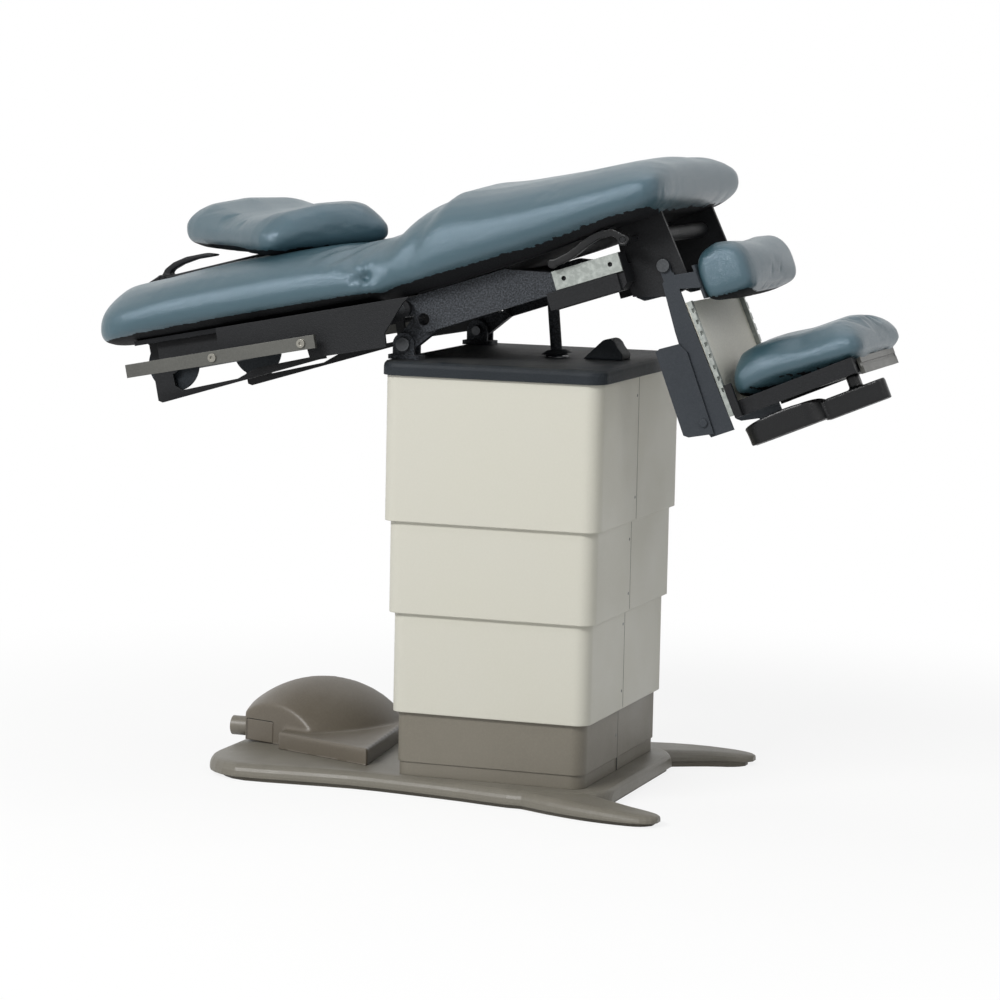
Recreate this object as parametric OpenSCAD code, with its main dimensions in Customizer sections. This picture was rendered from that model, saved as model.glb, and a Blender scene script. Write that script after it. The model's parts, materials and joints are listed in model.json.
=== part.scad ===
// Power procedure table in its knee support position: a telescoping lift column on a
// forked base carries a tilting seat frame, a folding back and a hanging foot section.
// Millimetres, +Z up, +X towards the foot end, origin on the floor under the column.

/* [Base] */
// Length of the base shell from the head end to the foot tips
base_l = 980; // [860:10:1080]
// Distance between the outer edges of the two foot tips
base_spread = 770; // [700:10:860]
// Thickness of the steel floor plate
floor_t = 8; // [6:1:12]
// Height of the base shell above the floor plate
shell_h = 26; // [22:1:34]
// Radius that rounds the upper edge of the base shell
shell_edge = 22; // [14:1:28]

/* [Pump cover] */
// Distance from the column centre to the top of the dome
dome_x = 396; // [380:1:410]
// Radius of the dome
dome_r = 229; // [220:1:236]
// Height of the dome above the base shell
dome_h = 142; // [130:1:150]
// Distance of the dome's flat side faces from its centre
dome_side = 80; // [70:1:90]
// Turn of the flat side faces in plan
dome_side_turn = 18; // [14:1:22]
// Distance of the shelf's side faces from the dome's centre
shelf_side = 116; // [108:1:122]
// Turn of the shelf's side faces in plan
shelf_turn = 22; // [18:1:26]
// Height of the low shelf in front of the dome
shelf_h = 33; // [26:1:44]
// Distance from the column centre to the shelf's square end
shelf_end = 250; // [236:1:262]
// Radius of the power inlet
inlet_r = 19; // [16:0.5:21]
// Projection of the power inlet from the dome
inlet_l = 34; // [20:1:40]

/* [Lift column] */
// Length of the base cover along the table
column_l = 372; // [340:2:400]
// Width of the base cover across the table
column_w = 465; // [430:5:500]
// Step from each cover to the next larger one
cover_step = 8.6; // [7:0.2:11]
// Sheet thickness of the covers
cover_t = 2.4; // [1.5:0.1:3]
// Corner radius of the base cover
cover_r = 26; // [16:1:34]
// Height of the lower cover's bottom edge above the floor
lower_z = 155; // [152:1:162]
// Height of the middle cover's bottom edge above the floor
middle_z = 343; // [336:1:346]
// Height of the upper cover's bottom edge above the floor
upper_z = 516; // [508:1:520]
// Height of the upper cover's top edge above the floor
column_top = 788; // [784:1:796]
// Height of the sliding covers that show two sides of a stage
stage_h = 215; // [205:1:218]
// Height of the hem along the bottom of each sliding cover
hem_h = 14; // [8:1:20]
// Height of the base cover's top edge above the floor
base_cover_top = 200; // [180:5:230]
// Height of the recessed band at the foot of the base cover
band_h = 26; // [18:1:34]

/* [Lift mechanism] */
// Outer width of the largest mast tube
mast_w = 130; // [120:1:140]
// Wall of the mast tubes
mast_t = 8; // [6:0.5:10]
// Distance from the column centre to the mast centre
mast_x = 70; // [62:1:80]
// Outer radius of the lift cylinder
lift_r = 36; // [34:0.5:38]
// Outer radius of the sliding sleeve in the lift cylinder
sleeve_r = 30; // [28:0.5:32]
// Radius of the lift plunger
plunger_r = 22; // [18:0.5:24]

/* [Column cap] */
// Overhang of the cap beyond the upper cover
cap_overhang = 6; // [3:0.5:9]
// Thickness of the cap
cap_t = 27; // [22:1:30]
// Radius that rounds the cap's upper edge
cap_edge = 11; // [6:0.5:14]
// Thickness of the steel plate under the cap
carriage_t = 9; // [6:0.5:10]

/* [Tilt drive] */
// Distance from the column centre to the tilt pivot, towards the head
tilt_x = 186; // [180:1:190]
// Height of the tilt pivot above the floor
tilt_z = 843; // [840:1:850]
// Pitch of the seat frame at rest
seat_pitch = 18; // [12:0.5:20]
// Radius of the tilt pins
tilt_pin_r = 9; // [7:0.5:10]
// Radius of the tilt rod
rod_r = 11; // [9:0.5:13]
// Lean of the tilt rod towards the head
rod_lean = 5.4; // [3:0.2:7]
// Radius of the tilt cylinder
tilt_cyl_r = 22; // [20:0.5:26]
// Length of the tilt cylinder under the cap
tilt_cyl_l = 250; // [230:5:260]

/* [Seat frame] */
// Distance from the foot section's side face to the side beams' outer face
frame_side = 51; // [44:1:56]
// Thickness of the side beams
beam_t = 24; // [18:1:28]
// Length of the side beams
beam_l = 302; // [290:1:310]
// Height of the side beams
beam_h = 71; // [66:1:76]
// Radius of the round hole in each side beam
beam_hole_r = 11.5; // [8:0.5:13]
// Length of the bright slide plates beside the seat
slide_l = 132; // [120:1:140]
// Height of the bright slide plates
slide_h = 35; // [28:1:38]
// Radius of the seat frame's cross tubes
cross_r = 14; // [10:0.5:16]
// Thickness of the foot brackets
foot_bracket_t = 8; // [5:0.5:10]
// Radius of the curved hand levers
lever_r = 9; // [7:0.5:10]

/* [Upholstery] */
// Width of the seat and back upholstery
pad_w = 616; // [590:2:630]
// Length of the seat upholstery from the back hinge
seat_l = 556; // [540:1:566]
// Thickness of the seat upholstery
seat_h = 148; // [130:2:156]
// Length of the back upholstery from the back hinge
back_l = 626; // [600:2:640]
// Thickness of the back upholstery
back_h = 118; // [100:2:124]
// Thickness of the boards under the upholstery
board_t = 9; // [6:0.5:12]
// Length of the head pillow
pillow_l = 396; // [370:2:404]
// Width of the head pillow
pillow_w = 266; // [244:2:272]
// Thickness of the head pillow
pillow_h = 82; // [70:1:90]
// Turn of the head pillow across the table
pillow_turn = -44; // [-60:1:0]

/* [Back section] */
// Pitch of the back section at rest
back_pitch = 11; // [8:0.5:14]
// Height of the back section's side panels
back_panel_h = 85; // [80:1:90]
// Thickness of the back section's side panels
back_panel_t = 6; // [4:0.5:8]
// Distance from the side beams' outer face to the back section's side face
back_side = 66; // [60:1:72]
// Length of the accessory rails
rail_l = 387; // [340:1:400]
// Height of the accessory rails
rail_h = 25; // [24:1:30]
// Thickness of the accessory rails
rail_t = 10; // [8:0.5:11]
// Clear gap between an accessory rail and its panel
rail_gap = 22; // [16:1:26]
// Radius of the paper roll holder's end discs
disc_r = 52; // [40:1:52]
// Clear gap between the paper roll holder's end discs and its hangers
roll_side = 8; // [5:0.5:12]

/* [Foot section] */
// Width across the foot section's side plates
foot_w = 352; // [346:1:358]
// Length of the foot section's side plates
foot_l = 306; // [296:2:316]
// Thickness of the foot section's side plates
foot_t = 5; // [4:0.5:6]
// Lean of the hanging foot section beyond square to the seat frame
foot_lean = 5; // [0:0.5:8]
// Width of the upper pad across the table
roll_pad_w = 340; // [320:5:350]
// Depth of the upper pad
roll_pad_l = 94; // [84:1:100]
// Thickness of the upper pad
roll_pad_h = 94; // [80:1:96]
// Length of the knee pad
knee_l = 236; // [230:1:244]
// Width of the knee pad across the table
knee_w = 336; // [320:1:336]
// Thickness of the knee pad
knee_h = 70; // [56:1:72]
// Length of the heel stirrups' loops
loop_l = 158; // [140:2:164]
// Width of the heel stirrups' loops
loop_w = 92; // [80:1:100]

/* [Hidden] */
// Widths that follow the foot section's width
frame_w = foot_w + 2 * frame_side;
back_panel_w = frame_w + 2 * back_side;

// Overrun of every cut through a face
cut = 1;
// Gap between neighbours that meet face to face on different bodies
seat_gap = 0.3;
// Radial clearance of pins and rods that turn or slide in bores
running = 0.05;
// Lift travel from rest down to the lowest position
lift_down = 430;
// Facets of true rounds
$fn = 48;

// Shares of a row of stations are scaled by the sizes that they follow
function scaled(rows, sizes) = [for (row = rows) [for (i = [0:len(row) - 1]) row[i] * sizes[i]]];
// Point between two control rows on a smooth curve through four of them
function curve_row(a, b, c, d, t) =
    0.5 * (2 * b + (c - a) * t + (2 * a - 5 * b + 4 * c - d) * t * t + (3 * b - a - 3 * c + d) * t * t * t);
function row_at(rows, i) = rows[max(0, min(len(rows) - 1, i))];
// Smooth rows through a short list of control rows, with steps rows to each span
function smooth(rows, steps) = [
    for (i = [0:len(rows) - 2]) for (k = [0:steps - 1])
        curve_row(row_at(rows, i - 1), rows[i], rows[i + 1], row_at(rows, i + 2), k / steps),
    rows[len(rows) - 1]
];
function signed_power(v, p) = sign(v) * pow(abs(v), p);
// Faces of a closed skin over rings of equal length
function skin_faces(rings, points) = concat(
    [[for (j = [0:points - 1]) j]],
    [for (i = [0:rings - 2]) for (j = [0:points - 1])
        [i * points + j, (i + 1) * points + j, i * points + (j + 1) % points]],
    [for (i = [0:rings - 2]) for (j = [0:points - 1])
        [(i + 1) * points + j, (i + 1) * points + (j + 1) % points, i * points + (j + 1) % points]],
    [[for (j = [points - 1:-1:0]) (rings - 1) * points + j]]
);
module skin(rings) {
    polyhedron(
        points = [for (ring = rings) for (p = ring) p],
        faces = skin_faces(len(rings), len(rings[0])),
        convexity = 6
    );
}
// Flat-bottomed ring across X with rounded upper edges
function slab_ring(x, y, half, z, h, edge) = let (e = min(edge, half * 0.7), v = min(edge, h * 0.8)) concat(
    [[x, y - half, z], [x, y + half, z]],
    [for (a = [0:18:90]) [x, y + half - e + e * cos(a), z + h - v + v * sin(a)]],
    [for (a = [90:18:180]) [x, y - half + e + e * cos(a), z + h - v + v * sin(a)]]
);

// Seat and back frames, each about its own hinge
module at_seat() {
    translate([-tilt_x, 0, tilt_z]) rotate([0, -seat_pitch, 0]) children();
}
// Back hinge in the seat frame
hinge_x = 26;
hinge_z = 62;
module at_back() {
    at_seat() translate([hinge_x, 0, hinge_z]) rotate([0, seat_pitch - back_pitch, 0]) children();
}
// Foot hinge in the seat frame
foot_hinge_x = 512;
foot_hinge_z = 4;
module at_foot() {
    at_seat() translate([foot_hinge_x, 0, foot_hinge_z]) rotate([0, -foot_lean, 0]) children();
}
module both_sides() {
    children();
    mirror([0, 1, 0]) children();
}
// Plate or bar that lies upright between two distances from the middle, near side
module upright(inner, thick) {
    translate([0, -inner, 0]) rotate([90, 0, 0]) linear_extrude(thick) children();
}
// Rod across the table, near side, from an inner distance outwards
module crosswise(x, z, inner, long, r) {
    translate([x, -inner, z]) rotate([90, 0, 0]) cylinder(h = long, r = r);
}
module rounded_plan(l, w, r) {
    square([l - 2 * r, w], center = true);
    square([l, w - 2 * r], center = true);
    for (sx = [-1, 1], sy = [-1, 1]) translate([sx * (l / 2 - r), sy * (w / 2 - r)]) circle(r);
}

// Base

// Body of the base from the head end to the fork: place, half width and height shares
body_shares = [
    [-0.614, 0.16, 0.50], [-0.608, 0.34, 0.66], [-0.592, 0.50, 0.80], [-0.562, 0.61, 0.92],
    [-0.510, 0.675, 0.98], [-0.400, 0.66, 1.00], [-0.280, 0.64, 1.00], [-0.170, 0.665, 1.00],
    [-0.043, 0.71, 1.00], [0.060, 0.76, 1.00], [0.140, 0.74, 1.00], [0.200, 0.66, 0.98],
    [0.228, 0.56, 0.92], [0.236, 0.50, 0.70]
];
// Feet of the fork: place, distance from the middle, half width and height shares
fork_shares = [
    [0.040, 0.50, 0.20, 0.96], [0.150, 0.66, 0.17, 0.95], [0.236, 0.765, 0.135, 0.84],
    [0.300, 0.82, 0.105, 0.70], [0.341, 0.838, 0.088, 0.58], [0.361, 0.842, 0.060, 0.50],
    [0.370, 0.843, 0.026, 0.40]
];
body_rows = smooth(scaled(body_shares, [base_l, base_spread / 2, shell_h]), 2);
fork_rows = smooth(scaled(fork_shares, [base_l, base_spread / 2, base_spread / 2, shell_h]), 2);
// Inset of the floor plate under the shell
plate_inset_share = 0.965;

module base_plate() {
    share = plate_inset_share;
    color("#2c2b29") linear_extrude(floor_t) {
        polygon(share * concat([for (r = body_rows) [r[0], -r[1]]],
            [for (i = [len(body_rows) - 1:-1:0]) [body_rows[i][0], body_rows[i][1]]]));
        for (side = [-1, 1]) polygon(share * concat([for (r = fork_rows) [r[0], side * r[1] - r[2]]],
            [for (i = [len(fork_rows) - 1:-1:0]) [fork_rows[i][0], side * fork_rows[i][1] + fork_rows[i][2]]]));
    }
}

module base_shell() {
    color("#7d786c") {
        skin([for (r = body_rows) slab_ring(r[0], 0, r[1], floor_t, min(r[2], shell_h), shell_edge)]);
        for (side = [-1, 1])
            skin([for (r = fork_rows) slab_ring(r[0], side * r[1], r[2], floor_t, r[3], shell_edge)]);
    }
}

base_top = floor_t + shell_h;
dome_low = dome_h - dome_r;
// Head end of the pump cover, from the dome's centre
dome_end = 184;
// Clearance between the pump cover and the column's largest sliding cover
dome_column_gap = 10;
// Head end of the shelf, from the dome's centre
shelf_start = 84;
// Size, depth and place of the pump door in the dome's side face
door_l = 70;
door_h = 44;
door_t = 4;
door_gap = 1.5;
door_place = 128;

// Wedge between two turned side faces, drawn in plan about the dome's centre
module wedge_plan(head, foot, side, turn) {
    reach = side / cos(turn);
    slope = tan(turn);
    polygon([
        [-head, -reach + head * slope], [foot, -reach - foot * slope],
        [foot, reach + foot * slope], [-head, reach - head * slope]
    ]);
}
module at_dome() {
    translate([-dome_x, 0, base_top]) children();
}
// Frame on the near side face of the dome: X along the face, Y into the dome
module on_dome_side() {
    at_dome() rotate([0, 0, -dome_side_turn]) translate([0, -dome_side, 0]) children();
}
module pump_cover() {
    foot = dome_x - column_l / 2 - 3 * cover_step - dome_column_gap;
    color("#6b665b") difference() {
        union() {
            at_dome() intersection() {
                translate([0, 0, dome_low]) rotate([90, 0, 0]) sphere(r = dome_r, $fn = 96);
                translate([0, 0, -cut]) linear_extrude(dome_r) wedge_plan(dome_end, foot, dome_side, dome_side_turn);
            }
            at_dome() translate([0, 0, -2 * cut]) linear_extrude(shelf_h + 2 * cut)
                wedge_plan(shelf_start, dome_x - shelf_end, shelf_side, shelf_turn);
        }
        at_dome() translate([-dome_r, -dome_r, -4 * cut]) cube([2 * dome_r, 2 * dome_r, 4 * cut]);
        on_dome_side() translate([-door_place - door_l / 2, -cut, -cut]) cube([door_l, door_t + cut, door_h + cut]);
        at_dome() translate([pump_x, 0, -cut]) linear_extrude(pump_h + cut + seat_gap)
            square([pump_l + 2 * pump_gap, pump_w + 2 * pump_gap], center = true);
        at_dome() translate([-dome_end - cut, 0, inlet_z])
            rotate([0, 90, 0]) cylinder(h = dome_end / 2, r = inlet_body_r + running);
    }
}
module pump_door() {
    color("#746f63") on_dome_side() translate([-door_place - door_l / 2 + door_gap, seat_gap, seat_gap])
        cube([door_l - 2 * door_gap, door_t - 2 * seat_gap, door_h - door_gap]);
}
// Motor, pump and oil tank under the cover
pump_l = 152;
pump_w = 112;
pump_h = 90;
pump_x = 30;
pump_gap = 4;
pump_r = 16;
pump_motor_r = 38;
inlet_z = 22;
inlet_body_r = 13;
module pump_unit() {
    color("#3d3f42") at_dome() translate([pump_x, 0, 0]) {
        linear_extrude(pump_h - 2 * pump_motor_r) rounded_plan(pump_l, pump_w, pump_r);
        translate([-pump_l / 2, 0, pump_h - pump_motor_r]) rotate([0, 90, 0]) cylinder(h = pump_l * 0.62, r = pump_motor_r);
        translate([pump_l / 2 - pump_l * 0.34, -pump_w / 2, 0]) cube([pump_l * 0.34, pump_w, pump_h * 0.86]);
    }
}
// Blades and rim of the power inlet
inlet_rim = 4;
inlet_floor = 12;
module power_inlet() {
    color("#b9bab6") at_dome() translate([-dome_end, 0, inlet_z]) rotate([0, -90, 0]) difference() {
        union() {
            cylinder(h = inlet_l, r = inlet_r);
            translate([0, 0, -inlet_l]) cylinder(h = inlet_l + cut, r = inlet_body_r);
        }
        translate([0, 0, inlet_l - inlet_floor]) cylinder(h = inlet_floor + cut, r = inlet_r - inlet_rim);
    }
}

// Lift column

// Half of a cover's plan on the near or the far side of its seam
seam_y = -20;
seam_gap = 1;
// Growth of the covers' corner radius from each to the next larger one
corner_step = 1.2;
module cover_half(stage, low, high, far, hem) {
    l = column_l + 2 * stage * cover_step;
    w = column_w + 2 * stage * cover_step;
    r = cover_r + stage * corner_step;
    lip = cover_step - seat_gap;
    intersection() {
        translate([0, 0, low]) union() {
            linear_extrude(high - low) difference() {
                rounded_plan(l, w, r);
                rounded_plan(l - 2 * cover_t, w - 2 * cover_t, r - cover_t);
            }
            if (hem) linear_extrude(hem_h) difference() {
                rounded_plan(l - cover_t, w - cover_t, r - cover_t / 2);
                rounded_plan(l - 2 * lip, w - 2 * lip, r - lip);
            }
        }
        side = far ? 1 : -1;
        translate([-l, far ? seam_y + seam_gap / 2 : seam_y - seam_gap / 2 - w, low - cut])
            cube([2 * l, w, high - low + 2 * cut]);
    }
}
// Inset of the band at the foot of the base cover
band_inset = 2.5;
module base_cover_side(far) {
    translate([0, 0, 0]) cover_half(0, base_top + band_h, base_cover_top, far, false);
    cover_half(-band_inset / cover_step, base_top, base_top + band_h + hem_h, far, false);
}
module base_cover() {
    color("#7a7467") base_cover_side(false);
}
module base_cover_rear() {
    color("#7a7467") base_cover_side(true);
}
module lower_cover() {
    color("#d0cec2") cover_half(1, lower_z, lower_z + stage_h, false, true);
}
module lower_cover_rear() {
    color("#d0cec2") cover_half(1, lower_z, lower_z + stage_h, true, true);
}
module middle_cover() {
    color("#d0cec2") cover_half(2, middle_z, middle_z + stage_h - hem_h, false, true);
}
module middle_cover_rear() {
    color("#d0cec2") cover_half(2, middle_z, middle_z + stage_h - hem_h, true, true);
}
module upper_cover() {
    color("#d0cec2") cover_half(3, upper_z, column_top, false, true);
}
module upper_cover_rear() {
    color("#d0cec2") cover_half(3, upper_z, column_top, true, true);
}

// One square tube of the mast, stage 0 outermost
mast_step = mast_t + seat_gap;
module mast_tube(stage, low, high, wall) {
    w = mast_w - 2 * stage * mast_step;
    translate([-mast_x, 0, low]) linear_extrude(high - low) difference() {
        square(w, center = true);
        square(w - 2 * wall, center = true);
    }
}
// Share of the lift that the middle mast tube and the sleeve make
half_share = 0.5;
// Clearance of the nested tubes above the mast's foot and under the carriage when it is down
tube_step = 2;
mast_flange = 40;
carriage_z = column_top - carriage_t;
mast_low = base_top + floor_t + tube_step;
mast_high = carriage_z - lift_down - tube_step;
module mast_base() {
    color("#55575a") {
        mast_tube(0, base_top, mast_high, mast_t);
        translate([-mast_x, 0, base_top]) linear_extrude(floor_t) difference() {
            square(mast_w + mast_flange, center = true);
            circle(lift_r);
        }
    }
}
module mast_middle() {
    color("#6a6c70") mast_tube(1, mast_low + half_share * lift_down, mast_high + half_share * lift_down, mast_t);
}
module mast_top() {
    color("#7c7f84") mast_tube(2, mast_low + lift_down, carriage_z, mast_t);
}
module lift_cylinder() {
    color("#4c4f54") translate([-mast_x, 0, base_top]) difference() {
        cylinder(h = mast_high - base_top, r = lift_r - seat_gap);
        translate([0, 0, floor_t]) cylinder(h = mast_high, r = sleeve_r + running);
    }
}
module lift_sleeve() {
    color("#a9abad") translate([-mast_x, 0, mast_low + half_share * lift_down]) difference() {
        cylinder(h = mast_high - mast_low, r = sleeve_r);
        translate([0, 0, -cut]) cylinder(h = mast_high, r = plunger_r + running);
    }
}
module lift_plunger() {
    color("#c9cbcc") translate([-mast_x, 0, mast_low + lift_down])
        cylinder(h = carriage_z - mast_low - lift_down, r = plunger_r);
}

// Cap and carriage

cap_l = column_l + 6 * cover_step + 2 * cap_overhang;
cap_w = column_w + 6 * cover_step + 2 * cap_overhang;
cap_r = cover_r + cap_overhang;
cap_top = column_top + cap_t;
// Foot of the tilt rod on the cap
rod_x = 41;
module along_rod() {
    translate([rod_x, 0, cap_top]) rotate([0, -rod_lean, 0]) children();
}
module carriage_plate() {
    w = 3 * 2 * cover_step;
    color("#4a4c4f") translate([0, 0, carriage_z]) linear_extrude(carriage_t) difference() {
        rounded_plan(column_l + w - 2 * cover_t - seat_gap, column_w + w - 2 * cover_t - seat_gap, cover_r + 3 * corner_step);
        translate([rod_x, 0]) circle(tilt_cyl_r + cap_edge);
    }
}
module top_cap() {
    color("#2a2c2e") difference() {
        hull() {
            translate([0, 0, column_top]) linear_extrude(cap_t - cap_edge) rounded_plan(cap_l, cap_w, cap_r, $fn = 32);
            for (a = [30, 60, 90])
                translate([0, 0, column_top]) linear_extrude(cap_t - cap_edge + cap_edge * sin(a))
                    rounded_plan(cap_l - 2 * cap_edge * (1 - cos(a)), cap_w - 2 * cap_edge * (1 - cos(a)),
                        cap_r - cap_edge * (1 - cos(a)), $fn = 32);
        }
        along_rod() translate([0, 0, -2 * cap_t]) cylinder(h = 3 * cap_t, r = tilt_cyl_r + seat_gap);
    }
}

// Clevis that carries the tilt frame
ear_t = 7;
ear_r = 21;
lug_t = 22;
ear_gap = 1;
clevis_foot_l = 62;
clevis_foot_t = 8;
clevis_y = frame_w / 2 - beam_t;
lug_r = 19;
module clevis_ear(y) {
    difference() {
        translate([0, y, 0]) rotate([90, 0, 0]) linear_extrude(ear_t, center = true) {
            circle(ear_r);
            translate([-ear_r, cap_top + clevis_foot_t / 2 - tilt_z]) square([2 * ear_r, tilt_z - cap_top - clevis_foot_t / 2]);
        }
        translate([0, y, 0]) rotate([90, 0, 0]) cylinder(h = ear_t + 2 * cut, r = tilt_pin_r, center = true);
    }
}
module tilt_brackets() {
    ear_y = lug_t / 2 + ear_gap + ear_t / 2;
    color("#4a4c4e") both_sides() translate([-tilt_x, -clevis_y, tilt_z]) {
        for (s = [-1, 1]) clevis_ear(s * ear_y);
        translate([0, 0, cap_top - tilt_z]) linear_extrude(clevis_foot_t)
            rounded_plan(clevis_foot_l, 2 * ear_y + 2 * ear_t, clevis_foot_t);
    }
}
pin_head_r = 13;
pin_head_t = 6;
module tilt_pins() {
    reach = lug_t / 2 + ear_gap + ear_t;
    color("#b4b6b6") both_sides() translate([-tilt_x, -clevis_y, tilt_z]) rotate([90, 0, 0]) {
        translate([0, 0, -reach - pin_head_t]) cylinder(h = 2 * reach + pin_head_t, r = tilt_pin_r - running);
        translate([0, 0, reach]) cylinder(h = pin_head_t, r = pin_head_r);
    }
}
// Height of the tilt rod's end eye above the cap at rest, along the rod
rod_reach = 129;
rod_down = 78;
module tilt_cylinder() {
    color("#54575a") difference() {
        along_rod() translate([0, 0, -tilt_cyl_l]) cylinder(h = tilt_cyl_l, r = tilt_cyl_r);
        along_rod() translate([0, 0, -tilt_cyl_l + floor_t]) cylinder(h = tilt_cyl_l + cut, r = rod_r + running);
    }
}
boot_r = 30;
boot_t = 7;
module rod_boot() {
    color("#1c1d1e") along_rod() difference() {
        translate([0, 0, cap_edge / 4]) {
            cylinder(h = boot_t, r = tilt_cyl_r - cut);
            translate([0, 0, boot_t / 2]) cylinder(h = boot_t, r1 = boot_r, r2 = rod_r + boot_t);
        }
        translate([0, 0, -boot_t]) cylinder(h = 3 * boot_t, r = rod_r + running);
    }
}
hood_l = 78;
hood_h = 40;
hood_w = 54;
hood_x = 140;
// Side outline of the hood over the override valve
hood_shares = [
    [-0.5, 0], [0.5, 0], [0.5, 0.28], [0.43, 0.44], [0.36, 0.60], [0.30, 0.82], [0.22, 0.96],
    [0.12, 1], [0.0, 0.93], [-0.12, 0.72], [-0.28, 0.42], [-0.42, 0.16]
];
module cap_hood() {
    color("#1f2022") translate([hood_x, 0, cap_top]) rotate([90, 0, 0])
        linear_extrude(hood_w, center = true) polygon(scaled(hood_shares, [hood_l, hood_h]));
}
// Tilt rod with the flat slotted head that the seat frame's pin rides in
rod_head_r = 24;
rod_head_t = 12;
rod_slot = 17;
rod_pin_r = 6;
module tilt_rod() {
    color("#33363a") along_rod() {
        translate([0, 0, -tilt_cyl_l + floor_t + rod_down + cut])
            cylinder(h = tilt_cyl_l - floor_t - rod_down - cut + rod_reach - rod_pin_r * 2.4, r = rod_r);
        translate([0, 0, rod_reach]) rotate([90, 0, 0]) linear_extrude(rod_head_t, center = true) difference() {
            hull_free_slot(rod_slot + rod_pin_r, rod_pin_r * 2.6);
            hull_free_slot(rod_slot, rod_pin_r * 1.6);
        }
    }
}
// Long round outline, centred, drawn from two circles and a bar
module hull_free_slot(half, r) {
    for (s = [-1, 1]) translate([s * (half - r / 2), 0]) circle(r);
    square([2 * half - r, 2 * r], center = true);
}

// Seat frame

// Side outline of a beam in shares of its length and height, from its lower edge
beam_shares = [
    [0.015, 0.88], [0.085, 0.06], [0.120, 0], [1, 0.02], [1, 0.53], [0.74, 0.93], [0.70, 1.0], [0.03, 1.0]
];
beam_x = 22;
beam_z = 8;
beam_hole_x = 54;
beam_hole_z = 33;
lug_shares = [[0.06, 0.62], [0.30, 0.52], [0.30, 0.02], [0.13, 0.0]];
hinge_pin_r = 8;
hinge_ear_r = 17;
module seat_beams() {
    color("#55595c") at_seat() both_sides() {
        difference() {
            union() {
                upright(frame_w / 2 - beam_t, beam_t) translate([beam_x, beam_z])
                    polygon(scaled(beam_shares, [beam_l, beam_h]));
                upright(frame_w / 2 - beam_t, beam_t) translate([hinge_x, hinge_z]) circle(hinge_ear_r);
                upright(clevis_y - lug_t / 2, lug_t) {
                    circle(lug_r);
                    polygon([[-lug_r * 0.3, lug_r * 0.95], [beam_x + beam_l * 0.12, beam_z + beam_h * 0.75],
                        [beam_x + beam_l * 0.16, beam_z], [0, -lug_r]]);
                }
            }
            crosswise(0, 0, 0, frame_w, tilt_pin_r + running);
            crosswise(beam_hole_x, beam_hole_z, 0, frame_w, beam_hole_r);
            crosswise(hinge_x, hinge_z, 0, frame_w, hinge_pin_r);
        }
    }
}
// Bright plates that guide the extending foot end, bolted beside the seat
slide_x = 320;
slide_z = 14;
slide_t = 5;
slide_hole_r = 4.5;
slide_hole_in = 20;
module slide_plates() {
    color("#868a86") at_seat() both_sides() difference() {
        upright(frame_w / 2, slide_t) translate([slide_x, slide_z]) square([slide_l, slide_h]);
        for (x = [slide_hole_in, slide_l - slide_hole_in])
            crosswise(slide_x + x, slide_z + slide_h / 2, 0, frame_w, slide_hole_r);
    }
}
// Rails under the slide plates that carry the foot brackets
seat_rail_x = 300;
seat_rail_z = -20;
seat_rail_t = 14;
seat_rail_cut = 12;
seat_rail_y = frame_w / 2 - beam_t - seat_gap - seat_rail_t;
rail_link_l = 48;
rail_link_h = 34;
module seat_rails() {
    top = slide_z + slide_h;
    end = slide_x + slide_l;
    color("#26282a") at_seat() both_sides() {
        upright(seat_rail_y, seat_rail_t) polygon([
            [seat_rail_x, seat_rail_z], [end - seat_rail_cut, seat_rail_z], [end, seat_rail_z + seat_rail_cut],
            [end, top], [seat_rail_x, top]
        ]);
        upright(frame_w / 2 - beam_t - seat_gap, beam_t) polygon([
            [beam_x + beam_l + seat_gap, seat_rail_z], [end - seat_rail_cut, seat_rail_z],
            [end, seat_rail_z + seat_rail_cut], [end, top], [beam_x + beam_l + seat_gap, top]
        ]);
        upright(frame_w / 2, seat_rail_t / 2) translate([seat_rail_x, seat_rail_z + cut])
            square([end - seat_rail_cut - seat_rail_x, slide_z - seat_rail_z - 2 * cut]);
        upright(foot_bracket_y + foot_bracket_t, seat_rail_y - foot_bracket_y - foot_bracket_t + cut)
            translate([end - rail_link_l, seat_rail_z + seat_rail_cut]) square([rail_link_l, rail_link_h]);
    }
}
// Tubes across the frame, and the lugs and pin for the tilt rod
cross_places = [[100, 40], [180, 66], [388, 28], [500, 62]];
tilt_eye_x = 233;
tilt_eye_z = 30;
tilt_lug_gap = 6;
tilt_lug_t = 8;
tilt_lug_r = 16;
module cross_tubes() {
    reach = [frame_w - 2 * beam_t, frame_w - 2 * beam_t, 2 * seat_rail_y, 2 * foot_bracket_y];
    color("#303336") at_seat() {
        for (i = [0:len(cross_places) - 1])
            crosswise(cross_places[i][0], cross_places[i][1], -reach[i] / 2, reach[i], cross_r);
        both_sides() upright(rod_head_t / 2 + tilt_lug_gap, tilt_lug_t) {
            translate([tilt_eye_x, tilt_eye_z]) circle(tilt_lug_r);
            polygon([[tilt_eye_x - tilt_lug_r, tilt_eye_z], [tilt_eye_x + tilt_lug_r, tilt_eye_z],
                [cross_places[1][0] + cross_r * 0.6, cross_places[1][1] + cross_r * 0.5],
                [cross_places[1][0], cross_places[1][1] - cross_r * 0.7]]);
        }
        crosswise(tilt_eye_x, tilt_eye_z, -rod_head_t / 2 - tilt_lug_gap - tilt_lug_t,
            rod_head_t + 2 * tilt_lug_gap + 2 * tilt_lug_t, rod_pin_r);
    }
}
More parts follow.
